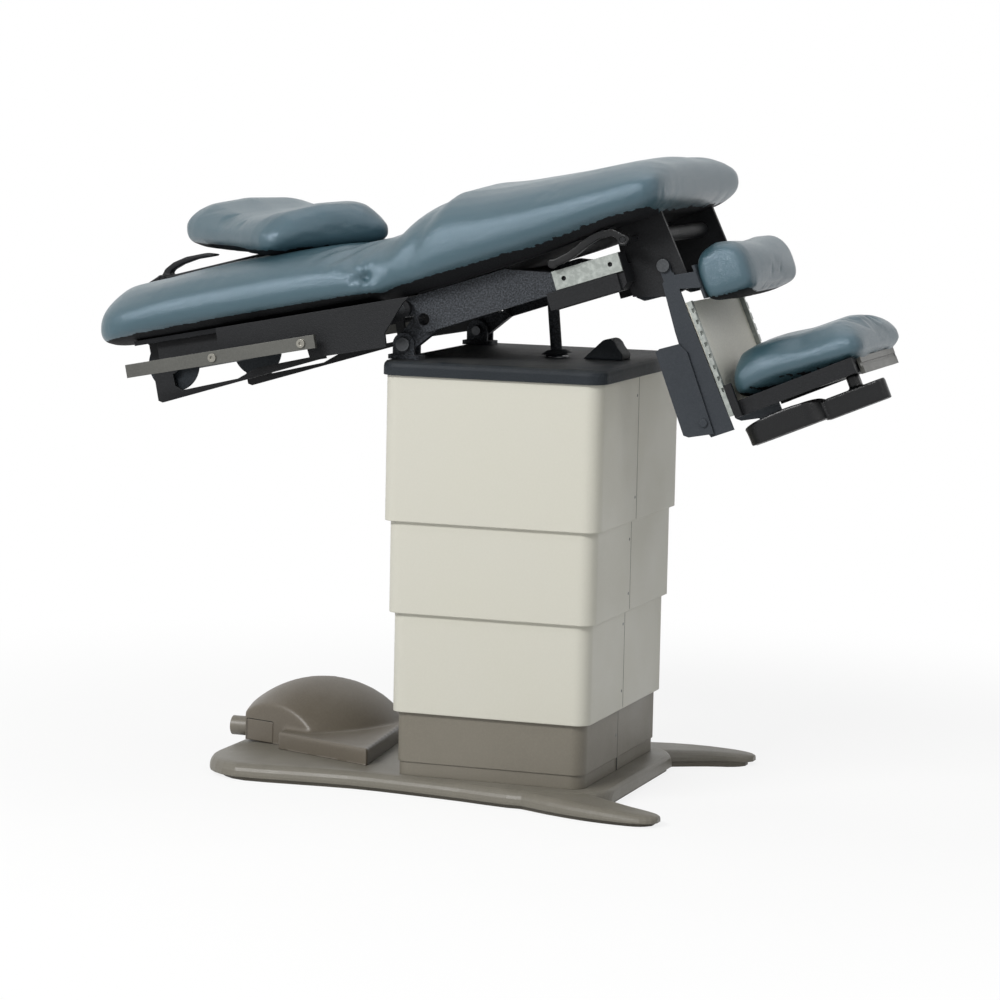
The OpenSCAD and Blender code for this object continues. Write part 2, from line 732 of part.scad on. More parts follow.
// Black moulded housings of the foot end's lock inside the brackets
lock_shares = [[0, 0.86], [0.02, 0.30], [0.14, 0.06], [0.78, 0], [1, 0.10], [1, 0.72], [0.42, 0.98], [0.24, 1]];
lock_l = 104;
lock_h = 40;
lock_x = 440;
lock_z = -50;
lock_t = 26;
module lock_housings() {
    color("#17191b") at_seat() both_sides()
        upright(foot_bracket_y - lock_t, lock_t) translate([lock_x, lock_z]) polygon(scaled(lock_shares, [lock_l, lock_h]));
}
// Upright brackets at the foot end that carry the seat board, the hand levers and the foot hinge
bracket_shares = [[0, 0.344], [0.018, 0.110], [0.566, 0], [0.743, 0.012], [1, 0.147], [0.858, 1], [0.035, 0.923]];
foot_bracket_x = 436;
foot_bracket_l = 113;
foot_bracket_h = 156;
foot_bracket_z = -52;
foot_bracket_y = foot_w / 2 - foot_t - seat_gap - foot_bracket_t;
foot_pin_r = 7;
lever_pin_r = 5;
module foot_brackets() {
    color("#1b1d1f") at_seat() both_sides() {
        difference() {
            upright(foot_bracket_y, foot_bracket_t) translate([foot_bracket_x, foot_bracket_z])
                polygon(scaled(bracket_shares, [foot_bracket_l, foot_bracket_h]));
            crosswise(foot_hinge_x, foot_hinge_z, 0, frame_w, foot_pin_r);
        }
        crosswise(lever_pivot_x, lever_pivot_z, foot_bracket_y + foot_bracket_t - cut,
            lever_y + lever_r - foot_bracket_y - foot_bracket_t + cut, lever_pin_r);
    }
}
// Bent hand levers beside the seat: a short rise, a bow and a drop to their pivot
lever_shares = [[0, 0], [0.24, 0.10], [0.46, 0.36], [0.70, 0.58], [0.90, 0.50], [1, 0.18]];
lever_x = 332;
lever_z = 62;
lever_l = 142;
lever_h = 44;
lever_side = 17;
lever_y = frame_w / 2 + lever_side;
lever_hub_r = 11;
lever_pivot_x = lever_x + lever_l;
lever_pivot_z = lever_z + lever_h * 0.1;
// Outline of a bar of even thickness along a path
function path_way(path, i) = let (d = path[min(len(path) - 1, i + 1)] - path[max(0, i - 1)]) d / norm(d);
function bar_outline(path, r) = concat(
    [for (i = [0:len(path) - 1]) let (d = path_way(path, i)) path[i] + r * [-d[1], d[0]]],
    [for (i = [len(path) - 1:-1:0]) let (d = path_way(path, i)) path[i] - r * [-d[1], d[0]]]
);
module hand_levers() {
    path = smooth(scaled(lever_shares, [lever_l, lever_h]), 2);
    color("#141617") at_seat() both_sides() translate([0, -lever_y, 0]) rotate([90, 0, 0])
        linear_extrude(2 * lever_r, center = true) difference() {
            union() {
                translate([lever_x, lever_z]) {
                    polygon(bar_outline(path, lever_r * 0.8));
                    circle(lever_r);
                }
                translate([lever_pivot_x, lever_pivot_z]) circle(lever_hub_r);
            }
            translate([lever_pivot_x, lever_pivot_z]) circle(lever_pin_r + running);
        }
}

// Upholstery

// Ring across a cushion: flat below, drawn in at the seams and crowned on top
ring_points = 26;
crown_share = 0.26;
function pad_ring(x, lean, pivot, half, low, high, corner) = let (
    edge = high - crown_share * (high - low),
    mid = (low + edge) / 2,
    r = (edge - low) / 2
) [for (i = [0:ring_points - 1]) let (
    a = -90 + 360 * i / ring_points,
    y = half * signed_power(cos(a), corner) * (1 - 0.045 * pow(abs(sin(a)), 6)),
    up = sin(a) > 0,
    z = mid + r * signed_power(sin(a), 0.62) + (up ? (high - edge) * pow(max(0, 1 - pow(abs(y) / half, 2.4)), 0.8) * pow(sin(a), 0.8) : 0)
) [x + lean * (z - pivot), y, z]];
module pad(rows, pivot) {
    skin([for (r = rows) pad_ring(r[0], r[4], pivot, r[1], r[2], r[3], 0.34)]);
}
// Lean of the cushions' facing ends at the back hinge
notch = 39;
// Seat cushion: place, half width, underside, top and lean along its length
seat_low = 22;
seat_shares = [
    [0.001, 0.97, 0.00, 0.93, 1.0], [0.072, 0.99, 0.00, 0.965, 0.72], [0.150, 1.00, 0.00, 0.99, 0.45],
    [0.245, 1.00, 0.003, 1.00, 0.18], [0.350, 1.00, 0.01, 0.995, 0], [0.477, 1.00, 0.02, 0.953, 0],
    [0.637, 1.00, 0.058, 0.878, 0], [0.795, 1.00, 0.112, 0.824, 0], [0.878, 0.985, 0.149, 0.764, 0],
    [0.946, 0.96, 0.195, 0.682, 0], [0.978, 0.91, 0.235, 0.61, 0], [0.992, 0.84, 0.28, 0.54, 0], [1, 0.72, 0.34, 0.46, 0]
];
seat_rows = smooth(scaled(seat_shares, [seat_l, pad_w / 2, seat_h, seat_h, tan(notch)]), 2);
module seat_cushion() {
    color("#5d6e7c") at_seat() translate([hinge_x, 0, hinge_z])
        pad([for (r = seat_rows) [r[0], r[1], seat_low + r[2], seat_low + r[3], r[4]]], 0);
}
// Height of the seat cushion's underside in the seat frame
function seat_under(x) = hinge_z + seat_low + lookup(x - hinge_x, [for (r = seat_rows) [r[0], r[2]]]);
seat_board_t = 3.5;
function board_low(x) = seat_under(x) - 2 * seat_gap - seat_board_t;
// Thin board under the seat cushion, bent as the cushion's underside is
seat_board_side = 3;
seat_board_from = 0.06;
seat_board_to = 0.92;
board_steps = 16;
module seat_board() {
    xs = [for (i = [0:board_steps]) hinge_x + seat_l * (seat_board_from + (seat_board_to - seat_board_from) * i / board_steps)];
    color("#151617") at_seat() translate([0, frame_w / 2 + seat_board_side, 0]) rotate([90, 0, 0])
        linear_extrude(frame_w + 2 * seat_board_side) polygon(concat(
            [for (x = xs) [x, board_low(x)]],
            [for (i = [board_steps:-1:0]) [xs[i], board_low(xs[i]) + seat_board_t]]
        ));
}
// Soft fold of upholstery that crosses the back hinge: a fan of rings about the hinge
// that stands between the cushions' facing ends, with its crest a little below their edges
fold_shares = [[-1, 0.975, -0.012], [-0.72, 0.97, -0.03], [-0.40, 0.955, -0.065], [-0.10, 0.95, -0.085],
    [0.20, 0.955, -0.06], [0.6, 0.965, -0.025], [1, 0.965, -0.012]];
fold_gap = 0.25;
// Radius at an angle on the straight line between two points given by angle and radius
function chord(a1, r1, a2, r2, a) = r1 * r2 * sin(a1 - a2) / (r1 * sin(a1 - a) + r2 * sin(a - a2));
module hinge_fold() {
    rows = smooth(fold_shares, 2);
    front = notch - fold_gap;
    rear = notch - fold_gap - seat_pitch + back_pitch;
    seat_top = seat_low + seat_h * seat_shares[0][3];
    back_top = back_low + back_h * back_shares[0][3];
    color("#566774") at_seat() translate([hinge_x, 0, hinge_z]) skin([for (r = rows)
        let (phi = r[0] < 0 ? r[0] * rear : r[0] * front,
            low = chord(front, seat_low / cos(notch), -rear, back_low / cos(notch), phi),
            high = chord(front, seat_top / cos(notch), -rear, back_top / cos(notch), phi) * (1 + r[2]),
            ring = pad_ring(0, 0, 0, pad_w / 2 * r[1], low, high, 0.34))
            [for (p = ring) [p[2] * sin(phi), p[1], p[2] * cos(phi)]]]);
}

// Back section

back_low = 21;
// Back cushion from the hinge to the head end, with X measured towards the head
back_shares = [
    [0.001, 0.985, 0.00, 0.93, 1.0], [0.075, 1.00, 0.00, 0.965, 0.70], [0.160, 1.00, 0.00, 0.995, 0.42],
    [0.260, 1.00, 0.00, 1.01, 0.16], [0.370, 1.00, 0.00, 1.02, 0], [0.500, 1.00, 0.00, 1.01, 0],
    [0.640, 1.00, 0.00, 0.99, 0], [0.760, 1.00, 0.00, 0.94, 0], [0.860, 0.99, 0.00, 0.88, 0],
    [0.925, 0.955, 0.02, 0.80, 0], [0.965, 0.89, 0.06, 0.71, 0], [0.990, 0.78, 0.14, 0.60, 0], [0.999, 0.64, 0.24, 0.48, 0]
];
module back_cushion() {
    rows = smooth(scaled(back_shares, [back_l, pad_w / 2, back_h, back_h, tan(notch)]), 2);
    color("#5d6e7c") at_back() mirror([1, 0, 0])
        pad([for (r = rows) [r[0], r[1], back_low + r[2], back_low + r[3], r[4]]], 0);
}
back_board_from = 0.07;
back_board_to = 0.86;
// Inset of the back board from the cushion's sides, and its slots over the roll holder's discs
back_board_side = 25;
disc_slot = 4;
module back_board() {
    color("#151617") at_back() difference() {
        translate([-back_l * back_board_to, -back_panel_w / 2 + back_board_side, back_low - seat_gap - board_t])
            cube([back_l * (back_board_to - back_board_from), back_panel_w - 2 * back_board_side, board_t]);
        both_sides() translate([-disc_x - disc_r, -roll_w / 2 - disc_t - disc_slot, disc_z])
            cube([2 * disc_r, disc_t + 2 * disc_slot, disc_r + back_low]);
    }
}
// Inner side rails and cross bars that turn on the hinge pins
back_rail_t = 12;
back_rail_h = 34;
back_rail_from = 20;
back_rail_end = 500;
// Strap round the cushion's head end that carries the headrest arm
strap_shares = [[0.778, 0.044], [0.957, 0.044], [1, 0.24], [1, 0.688], [0.986, 0.872], [0.952, 1], [0.944, 0.968],
    [0.977, 0.84], [0.991, 0.672], [0.991, 0.264], [0.953, 0.09], [0.778, 0.09]];
strap_l = 643;
strap_h = 125;
strap_ear_t = 7;
back_bar_r = 12;
back_bar_places = [96, 300, 428];
back_rail_side = 12;
back_rail_y = frame_w / 2 + back_rail_side;
module back_frame() {
    top = back_low - 2 * seat_gap - board_t;
    color("#232527") at_back() {
        both_sides() difference() {
            union() {
                upright(back_rail_y, back_rail_t) circle(hinge_ear_r);
                upright(back_rail_y, back_rail_t)
                    translate([-back_rail_end, top - back_rail_h]) square([back_rail_end, back_rail_h]);
                crosswise(0, 0, frame_w / 2 + seat_gap, back_rail_y - frame_w / 2 - seat_gap + cut, hinge_ear_r * 0.8);
            }
            crosswise(0, 0, 0, pad_w, hinge_pin_r + running);
        }
        for (x = back_bar_places)
            crosswise(-x, top - back_rail_h / 2, -back_rail_y, 2 * back_rail_y, back_bar_r);
        rotate([90, 0, 0]) linear_extrude(arm_w + 2 * seat_gap + 2 * strap_ear_t, center = true)
            mirror([1, 0]) polygon(scaled(strap_shares, [strap_l, strap_h]));
        both_sides() difference() {
            upright(arm_w / 2 + seat_gap, strap_ear_t) {
                translate([-arm_pivot_x, arm_pivot_z]) circle(arm_pin_r * 2);
                polygon([[-strap_l * strap_shares[6][0], strap_h * strap_shares[6][1]], [-strap_l * strap_shares[5][0], strap_h],
                    [-arm_pivot_x, arm_pivot_z + arm_pin_r * 2], [-arm_pivot_x, arm_pivot_z - arm_pin_r]]);
            }
            crosswise(-arm_pivot_x, arm_pivot_z, 0, pad_w, arm_pin_r + running);
        }
    }
}
// Side panels: a slanted end over the hinge and a step down to the rail's backing plate
panel_shares = [[0.07, 1.0], [0.04, 0.88], [-0.047, 0.31], [-0.05, 0.0], [-0.35, 0.02], [-0.36, 0.44], [-0.70, 0.44], [-0.70, 1.0]];
panel_l = 510;
module back_panels() {
    color("#2e3134") at_back() both_sides() difference() {
        upright(back_panel_w / 2 - back_panel_t, back_panel_t)
            translate([0, back_low - seat_gap - board_t - back_panel_h + board_t - seat_gap])
                polygon(scaled(panel_shares, [panel_l, back_panel_h]));
    }
    color("#2e3134") at_back() both_sides() for (x = back_bar_places)
        if (x < panel_l * 0.7) crosswise(-x, back_low - 2 * seat_gap - board_t - back_rail_h / 2,
            back_rail_y + back_rail_t, back_panel_w / 2 - back_rail_y - back_rail_t - back_panel_t + cut, back_bar_r);
}
// Accessory rails on bolts and spacers beside the back
rail_foot = 151;
rail_z = -33;
bolt_places = [27, 208];
spacer_r = 10;
bolt_r = 5;
bolt_head_r = 8;
bolt_head_t = 3.5;
rail_y = back_panel_w / 2 + rail_gap;
module accessory_rails() {
    color("#5c605e") at_back() both_sides() {
        difference() {
            upright(rail_y, rail_t) translate([-rail_foot - rail_l, rail_z - rail_h / 2]) square([rail_l, rail_h]);
            for (x = bolt_places) crosswise(-rail_foot - x, rail_z, 0, pad_w, bolt_r + running);
        }
        for (x = bolt_places) difference() {
            crosswise(-rail_foot - x, rail_z, back_panel_w / 2, rail_gap, spacer_r);
            crosswise(-rail_foot - x, rail_z, 0, pad_w, bolt_r + running);
        }
    }
}
socket_r = 3.5;
module rail_bolts() {
    color("#b9b3a6") at_back() both_sides() for (x = bolt_places) difference() {
        union() {
            crosswise(-rail_foot - x, rail_z, back_panel_w / 2, rail_gap + rail_t, bolt_r);
            crosswise(-rail_foot - x, rail_z, rail_y + rail_t, bolt_head_t, bolt_head_r);
        }
        crosswise(-rail_foot - x, rail_z, rail_y + rail_t + cut / 2, bolt_head_t, socket_r);
    }
}
// Hangers of the paper roll holder: a leg at the head end and a long lower arm
hanger_shares = [
    [-1.0, 1.0], [-1.0, 0.04], [-0.985, 0], [-0.36, 0.30], [-0.35, 0.37], [-0.60, 0.33], [-0.68, 0.20],
    [-0.90, 0.155], [-0.925, 0.24], [-0.935, 1.0]
];
hanger_l = 531;
hanger_h = 114;
hanger_t = 8;
hanger_side = 15;
hanger_y = frame_w / 2 - hanger_side;
hanger_arm_x = 196;
disc_x = 494;
disc_z = -34;
spindle_r = 9;
module roll_hangers() {
    top = back_low - 2 * seat_gap - board_t;
    color("#2b2d2f") at_back() both_sides() {
        difference() {
            upright(hanger_y, hanger_t) {
                translate([0, top - hanger_h]) polygon(scaled(hanger_shares, [hanger_l, hanger_h]));
                translate([-disc_x, disc_z]) circle(spindle_r * 2);
                translate([-disc_x - spindle_r * 2, disc_z]) square([spindle_r * 4, top - disc_z]);
                translate([-hanger_arm_x, top - hanger_h * 0.70]) square([spindle_r * 2, hanger_h * 0.70]);
            }
            crosswise(-disc_x, disc_z, 0, pad_w, spindle_r + running);
        }
    }
}
disc_t = 4;
roll_w = 2 * (hanger_y - disc_t - roll_side);
core_r = 16;
module roll_holder() {
    color("#1e2022") at_back() {
        crosswise(-disc_x, disc_z, -hanger_y - hanger_t, 2 * (hanger_y + hanger_t), spindle_r);
        crosswise(-disc_x, disc_z, -roll_w / 2, roll_w, core_r);
        both_sides() crosswise(-disc_x, disc_z, roll_w / 2, disc_t, disc_r);
    }
}

// Head pillow on its folding arm

arm_pivot_x = 572;
arm_pivot_z = 133;
arm_pin_r = 4;
arm_t = 7;
arm_w = 44;
arm_rise = 3.6;
horn_shares = [[-0.06, 0.10], [0.14, 0.10], [0.08, 0.30], [0.16, 0.52], [0.34, 0.68], [0.62, 0.80], [0.98, 0.80],
    [1.0, 0.88], [0.80, 1.0], [0.45, 0.98], [0.20, 0.84], [0.03, 0.62], [-0.06, 0.34]];
horn_l = 116;
horn_h = 46;
horn_w = 22;
horn_drop = 10;
pillow_x = 271;
pillow_z = 33;
plate_t = 5;
// Knuckle under the pillow plate
knuckle_x = 262;
knuckle_z = 19;
knuckle_r = 8;
knuckle_w = 26;
knuckle_ear = 6;
// Roll of the pillow about its own length
pillow_roll = 5.3;
module at_arm() {
    at_back() translate([-arm_pivot_x, 0, arm_pivot_z]) children();
}
module headrest_arm() {
    color("#2a2d2f") at_arm() {
        translate([0, 0, -horn_drop]) rotate([90, 0, 0]) linear_extrude(horn_w, center = true)
            polygon(scaled(horn_shares, [horn_l, horn_h]));
        rotate([90, 0, 0]) cylinder(h = arm_w, r = arm_t, center = true);
        rotate([90, 0, 0]) cylinder(h = arm_w + 2 * seat_gap + 2 * strap_ear_t, r = arm_pin_r, center = true);
        rotate([0, -arm_rise, 0]) translate([0, 0, -arm_t / 2]) linear_extrude(arm_t) polygon([
            [0, -arm_w * 0.45], [knuckle_x - 3 * knuckle_r, -arm_w * 0.45], [knuckle_x - 2 * knuckle_r, -knuckle_w * 0.4],
            [knuckle_x, -knuckle_w * 0.4], [knuckle_x, knuckle_w * 0.4], [knuckle_x - 2 * knuckle_r, knuckle_w * 0.4],
            [knuckle_x - 3 * knuckle_r, arm_w * 0.45], [0, arm_w * 0.45]
        ]);
        translate([knuckle_x, 0, knuckle_z]) rotate([90, 0, 0]) {
            cylinder(h = knuckle_w, r = knuckle_r, center = true);
            cylinder(h = knuckle_w + 2 * seat_gap + 2 * knuckle_ear, r = arm_pin_r, center = true);
        }
    }
}
module at_pillow() {
    at_arm() translate([pillow_x, 0, pillow_z]) rotate([0, back_pitch, 0]) rotate([0, 0, pillow_turn]) rotate([pillow_roll, 0, 0]) children();
}
module pillow_plate() {
    color("#1d1f20") {
        at_pillow() translate([0, 0, -plate_t]) linear_extrude(plate_t)
            rounded_plan(pillow_l * 0.5, pillow_w * 0.42, plate_t * 4);
        at_arm() both_sides() difference() {
            upright(knuckle_w / 2 + seat_gap, knuckle_ear) {
                translate([knuckle_x, knuckle_z]) circle(knuckle_r);
                translate([knuckle_x - knuckle_r, knuckle_z]) square([2 * knuckle_r, pillow_z - knuckle_z - plate_t / 2]);
            }
            crosswise(knuckle_x, knuckle_z, 0, pad_w, arm_pin_r + running);
        }
    }
}
// Pillow with raised ends and a dished middle
pillow_shares = [
    [-0.50, 0.68, 0.30, 0.58, 0], [-0.492, 0.82, 0.18, 0.74, 0], [-0.47, 0.92, 0.07, 0.90, 0], [-0.42, 0.98, 0.0, 1.0, 0],
    [-0.34, 1.0, 0.0, 1.0, 0], [-0.22, 1.0, 0.0, 0.93, 0], [-0.08, 0.99, 0.0, 0.87, 0], [0.08, 0.99, 0.0, 0.86, 0], [0.22, 1.0, 0.0, 0.88, 0],
    [0.34, 1.0, 0.0, 0.88, 0], [0.42, 0.98, 0.0, 0.84, 0], [0.47, 0.92, 0.07, 0.74, 0], [0.492, 0.82, 0.18, 0.62, 0], [0.50, 0.68, 0.30, 0.48, 0]
];
module head_pillow() {
    color("#5d6e7c") at_pillow() translate([0, 0, seat_gap])
        pad(scaled(pillow_shares, [pillow_l, pillow_w / 2, pillow_h, pillow_h, 1]), 0);
}

// Foot section, drawn about the foot hinge

plate_shares = [[-0.046, -0.098], [-0.010, -0.069], [0.042, -0.056], [0.040, -0.30], [0.051, -1.062], [-0.098, -1.056],
    [-0.114, -1.003], [-0.078, -0.392]];
// Eye on the foot pin, its neck, and the arms and cross plate that hold the upper pad
plate_eye_r = 12;
plate_neck = 20;
pad_arm_shares = [[0.02, -0.07], [0.157, -0.10], [0.172, -0.10], [0.172, -0.20], [0.157, -0.20], [0.03, -0.16]];
pad_plate_t = 5;
pad_plate_h = 64;
roll_pad_x = 54;
roll_pad_z = -98;
module foot_side_plates() {
    color("#44484c") at_foot() {
        both_sides() difference() {
            upright(foot_w / 2 - foot_t, foot_t) {
                polygon(scaled(plate_shares, [foot_l, foot_l]));
                polygon(scaled(pad_arm_shares, [foot_l, foot_l]));
                circle(plate_eye_r);
                translate([-plate_neck / 2, -2 * plate_neck]) square([plate_neck, 2 * plate_neck]);
            }
            crosswise(0, 0, 0, pad_w, foot_pin_r + running);
        }
        translate([roll_pad_x - seat_gap - pad_plate_t, -foot_w / 2 + foot_t / 2, roll_pad_z + (roll_pad_h - pad_plate_h) / 2])
            cube([pad_plate_t, foot_w - foot_t, pad_plate_h]);
    }
}
// Outer guide plates of the extending foot section, with the tubes between them
guide_shares = [[-0.212, -0.461], [-0.157, -0.448], [-0.118, -0.984], [-0.235, -0.984]];
guide_tabs = [0.53, 0.92];
guide_tab_l = 26;
guide_tab_h = 14;
guide_tube_r = 8;
module foot_guides() {
    color("#3f4347") at_foot() both_sides() {
        upright(foot_w / 2, foot_t) {
            polygon(scaled(guide_shares, [foot_l, foot_l]));
            for (z = guide_tabs) translate([-foot_l * 0.14, -foot_l * z]) square([guide_tab_l, guide_tab_h]);
        }
        for (z = [0.56, 0.90])
            crosswise(-foot_l * 0.183, -foot_l * z, -foot_w / 2 - foot_t, foot_w + 2 * foot_t, guide_tube_r);
    }
}
// Pale panel between the side plates, with its edges turned back along them
panel_x = 12;
panel_top = 78;
panel_t = 4;
panel_side = 18;
module foot_panel() {
    reach = foot_w / 2 - foot_t;
    long = foot_l * 0.98 - panel_top;
    color("#bfbfb2") at_foot() translate([0, 0, -foot_l * 0.98]) {
        translate([panel_x, -reach, 0]) cube([panel_t, 2 * reach, long]);
        both_sides() translate([panel_x + panel_t - panel_side, -reach, 0]) cube([panel_side, panel_t, long]);
    }
}
// Bright edge channels with a row of height notches
channel_t = 9;
channel_w = 12;
notch_pitch = 22;
notch_h = 8;
channel_x = panel_x + panel_t;
module edge_channels() {
    color("#9a9c98") at_foot() both_sides() difference() {
        translate([channel_x, -foot_w / 2, -foot_l * 0.98]) cube([channel_t, channel_w, foot_l * 0.98 - panel_top]);
        for (z = [panel_top + notch_pitch:notch_pitch:foot_l * 0.9])
            translate([channel_x + channel_t / 2, -foot_w / 2 - cut, -z]) cube([channel_t, channel_w / 2 + cut, notch_h]);
    }
}
// Pins of the foot hinge, with their heads, and of the back hinge
module foot_pins() {
    color("#8d8f8f") at_foot() both_sides() {
        crosswise(0, 0, foot_bracket_y, foot_w / 2 - foot_bracket_y + 2 * seat_gap, foot_pin_r - running);
        crosswise(0, 0, foot_w / 2 + seat_gap, foot_t, foot_pin_r + foot_t);
    }
    color("#8d8f8f") at_seat() both_sides()
        crosswise(hinge_x, hinge_z, frame_w / 2 - beam_t, back_rail_y + back_rail_t - frame_w / 2 + beam_t + cut, hinge_pin_r - running);
}
// Upper pad on the foot section, a fat roll with a dished front
roll_pad_shares = [
    [-0.50, 0.62, 0.24, 0.70, 0], [-0.49, 0.80, 0.12, 0.84, 0], [-0.46, 0.92, 0.04, 0.94, 0], [-0.40, 0.99, 0.0, 1.0, 0],
    [-0.20, 1.0, 0.0, 0.97, 0], [0, 0.99, 0.0, 0.94, 0], [0.20, 1.0, 0.0, 0.97, 0], [0.40, 0.99, 0.0, 1.0, 0],
    [0.46, 0.92, 0.04, 0.94, 0], [0.49, 0.80, 0.12, 0.84, 0], [0.50, 0.62, 0.24, 0.70, 0]
];
module upper_pad() {
    rows = scaled(roll_pad_shares, [roll_pad_w, roll_pad_l / 2, roll_pad_h, roll_pad_h, 1]);
    color("#5d6e7c") at_foot() translate([roll_pad_x + roll_pad_l / 2, 0, roll_pad_z]) rotate([0, 0, 90]) pad(rows, 0);
}

// Knee support, drawn about the foot hinge

knee_z = -277;
knee_x = 27;
knee_frame_h = 20;
knee_frame_t = 14;
hook_h = 34;
knee_start = channel_x + channel_t + 2 * seat_gap;
knee_frame_low = knee_z - seat_gap - board_t - knee_frame_h;
module knee_frame() {
    inset = knee_frame_t / 2;
    long = knee_x + knee_l - knee_start;
    color("#1d1f21") at_foot() {
        translate([knee_start, -knee_w / 2 + inset, knee_z - board_t - seat_gap]) cube([long, knee_w - 2 * inset, board_t]);
        translate([stirrup_x - stirrup_step - 1.5 * knee_frame_t, -knee_w / 2 + inset, knee_frame_low])
            cube([stirrup_step + 3 * knee_frame_t, knee_w - 2 * inset, knee_frame_h + cut / 2]);
        both_sides() {
            translate([knee_start, -knee_w / 2 + inset, knee_frame_low]) cube([long, knee_frame_t, knee_frame_h + cut / 2]);
            translate([knee_start, -foot_w / 2, knee_frame_low])
                cube([knee_frame_t, foot_w / 2 - knee_w / 2 + knee_frame_t, knee_frame_h + board_t]);
            translate([knee_start, -foot_w / 2, knee_frame_low])
                cube([knee_frame_t, foot_w / 2 - knee_w / 2 - seat_gap, knee_frame_h + board_t + hook_h]);
        }
    }
}
// Grooved bar across the end of the knee support
end_rail_l = 260;
end_rail_h = 50;
end_rail_t = 8;
end_rail_groove = 4;
module knee_end_rail() {
    color("#4a4b47") at_foot() translate([knee_x + knee_l + seat_gap, -end_rail_l / 2, knee_z - end_rail_h * 0.7]) difference() {
        cube([end_rail_t, end_rail_l, end_rail_h]);
        for (z = [0.28, 0.62]) translate([end_rail_t - end_rail_groove, -cut, end_rail_h * z])
            cube([end_rail_groove + cut, end_rail_l + 2 * cut, 1.5 * end_rail_groove]);
    }
}
knee_shares = [
    [0.0, 0.66, 0.26, 0.50, 0], [0.010, 0.80, 0.14, 0.60, 0], [0.035, 0.90, 0.05, 0.70, 0], [0.09, 0.97, 0.0, 0.80, 0],
    [0.22, 1.0, 0.0, 0.88, 0], [0.40, 1.0, 0.0, 0.90, 0], [0.58, 1.0, 0.0, 0.90, 0], [0.72, 1.0, 0.0, 0.98, 0],
    [0.84, 1.0, 0.0, 1.04, 0], [0.92, 0.99, 0.02, 1.0, 0], [0.965, 0.95, 0.07, 0.88, 0], [0.99, 0.88, 0.14, 0.70, 0],
    [1.0, 0.78, 0.24, 0.54, 0]
];
module knee_pad() {
    color("#4f606c") at_foot() translate([knee_x, 0, knee_z])
        pad(scaled(knee_shares, [knee_l, knee_w / 2, knee_h, knee_h, 1]), 0);
}
// Heel stirrup stowed under the knee support: arm, pivot post and open heel loop
stirrup_x = 240;
stirrup_y = 110;
// The far stirrup is stowed nearer to the middle and further in
stirrup_step = 42;
stirrup_far_y = 60;
stirrup_drop = 24;
stirrup_arm_l = 127;
stirrup_arm_r = 17;
stirrup_arm_h = 38;
stirrup_tail = 55;
stirrup_post_r = 12;
loop_h = 39;
loop_rise = 5;
loop_wall = 9;
module stirrup() {
    top = knee_frame_low - seat_gap;
    loop_x = stirrup_tail - stirrup_arm_l + loop_wall - loop_l / 2 + cut;
    translate([0, 0, top]) {
        translate([0, 0, -stirrup_drop - cut]) cylinder(h = stirrup_drop + cut, r = stirrup_post_r);
        translate([stirrup_tail - stirrup_arm_l / 2, 0, -stirrup_drop - stirrup_arm_h]) linear_extrude(stirrup_arm_h)
            hull_free_slot((stirrup_arm_l - stirrup_arm_r) / 2, stirrup_arm_r);
        translate([loop_x, 0, -stirrup_drop + loop_rise - loop_h]) linear_extrude(loop_h) difference() {
            hull_free_slot((loop_l - loop_w / 2) / 2, loop_w / 2);
            hull_free_slot((loop_l - loop_w / 2 - loop_wall) / 2, loop_w / 2 - loop_wall);
        }
    }
}
module stirrup_near() {
    color("#141516") at_foot() translate([stirrup_x, -stirrup_y, 0]) stirrup();
}
module stirrup_far() {
    color("#141516") at_foot() translate([stirrup_x - stirrup_step, stirrup_far_y, 0]) stirrup();
}

base_plate();
base_shell();
pump_cover();
pump_door();
power_inlet();
pump_unit();
base_cover();
base_cover_rear();
mast_base();
lift_cylinder();
lower_cover();
lower_cover_rear();
middle_cover();
middle_cover_rear();
mast_middle();
lift_sleeve();
upper_cover();
upper_cover_rear();
mast_top();
lift_plunger();
carriage_plate();
top_cap();
tilt_brackets();
tilt_pins();
tilt_cylinder();
rod_boot();
cap_hood();
tilt_rod();
seat_beams();
slide_plates();
seat_rails();
cross_tubes();
lock_housings();
foot_brackets();
hand_levers();
seat_board();
seat_cushion();
hinge_fold();
back_frame();
back_panels();
back_board();
back_cushion();
accessory_rails();
rail_bolts();
roll_hangers();
roll_holder();
headrest_arm();
pillow_plate();
head_pillow();
foot_side_plates();
foot_guides();
foot_panel();
edge_channels();
foot_pins();
upper_pad();
knee_frame();
knee_end_rail();
knee_pad();
stirrup_near();
stirrup_far();
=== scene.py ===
import json
import math
import bmesh
import bpy
import numpy as np
from mathutils import Matrix, Vector


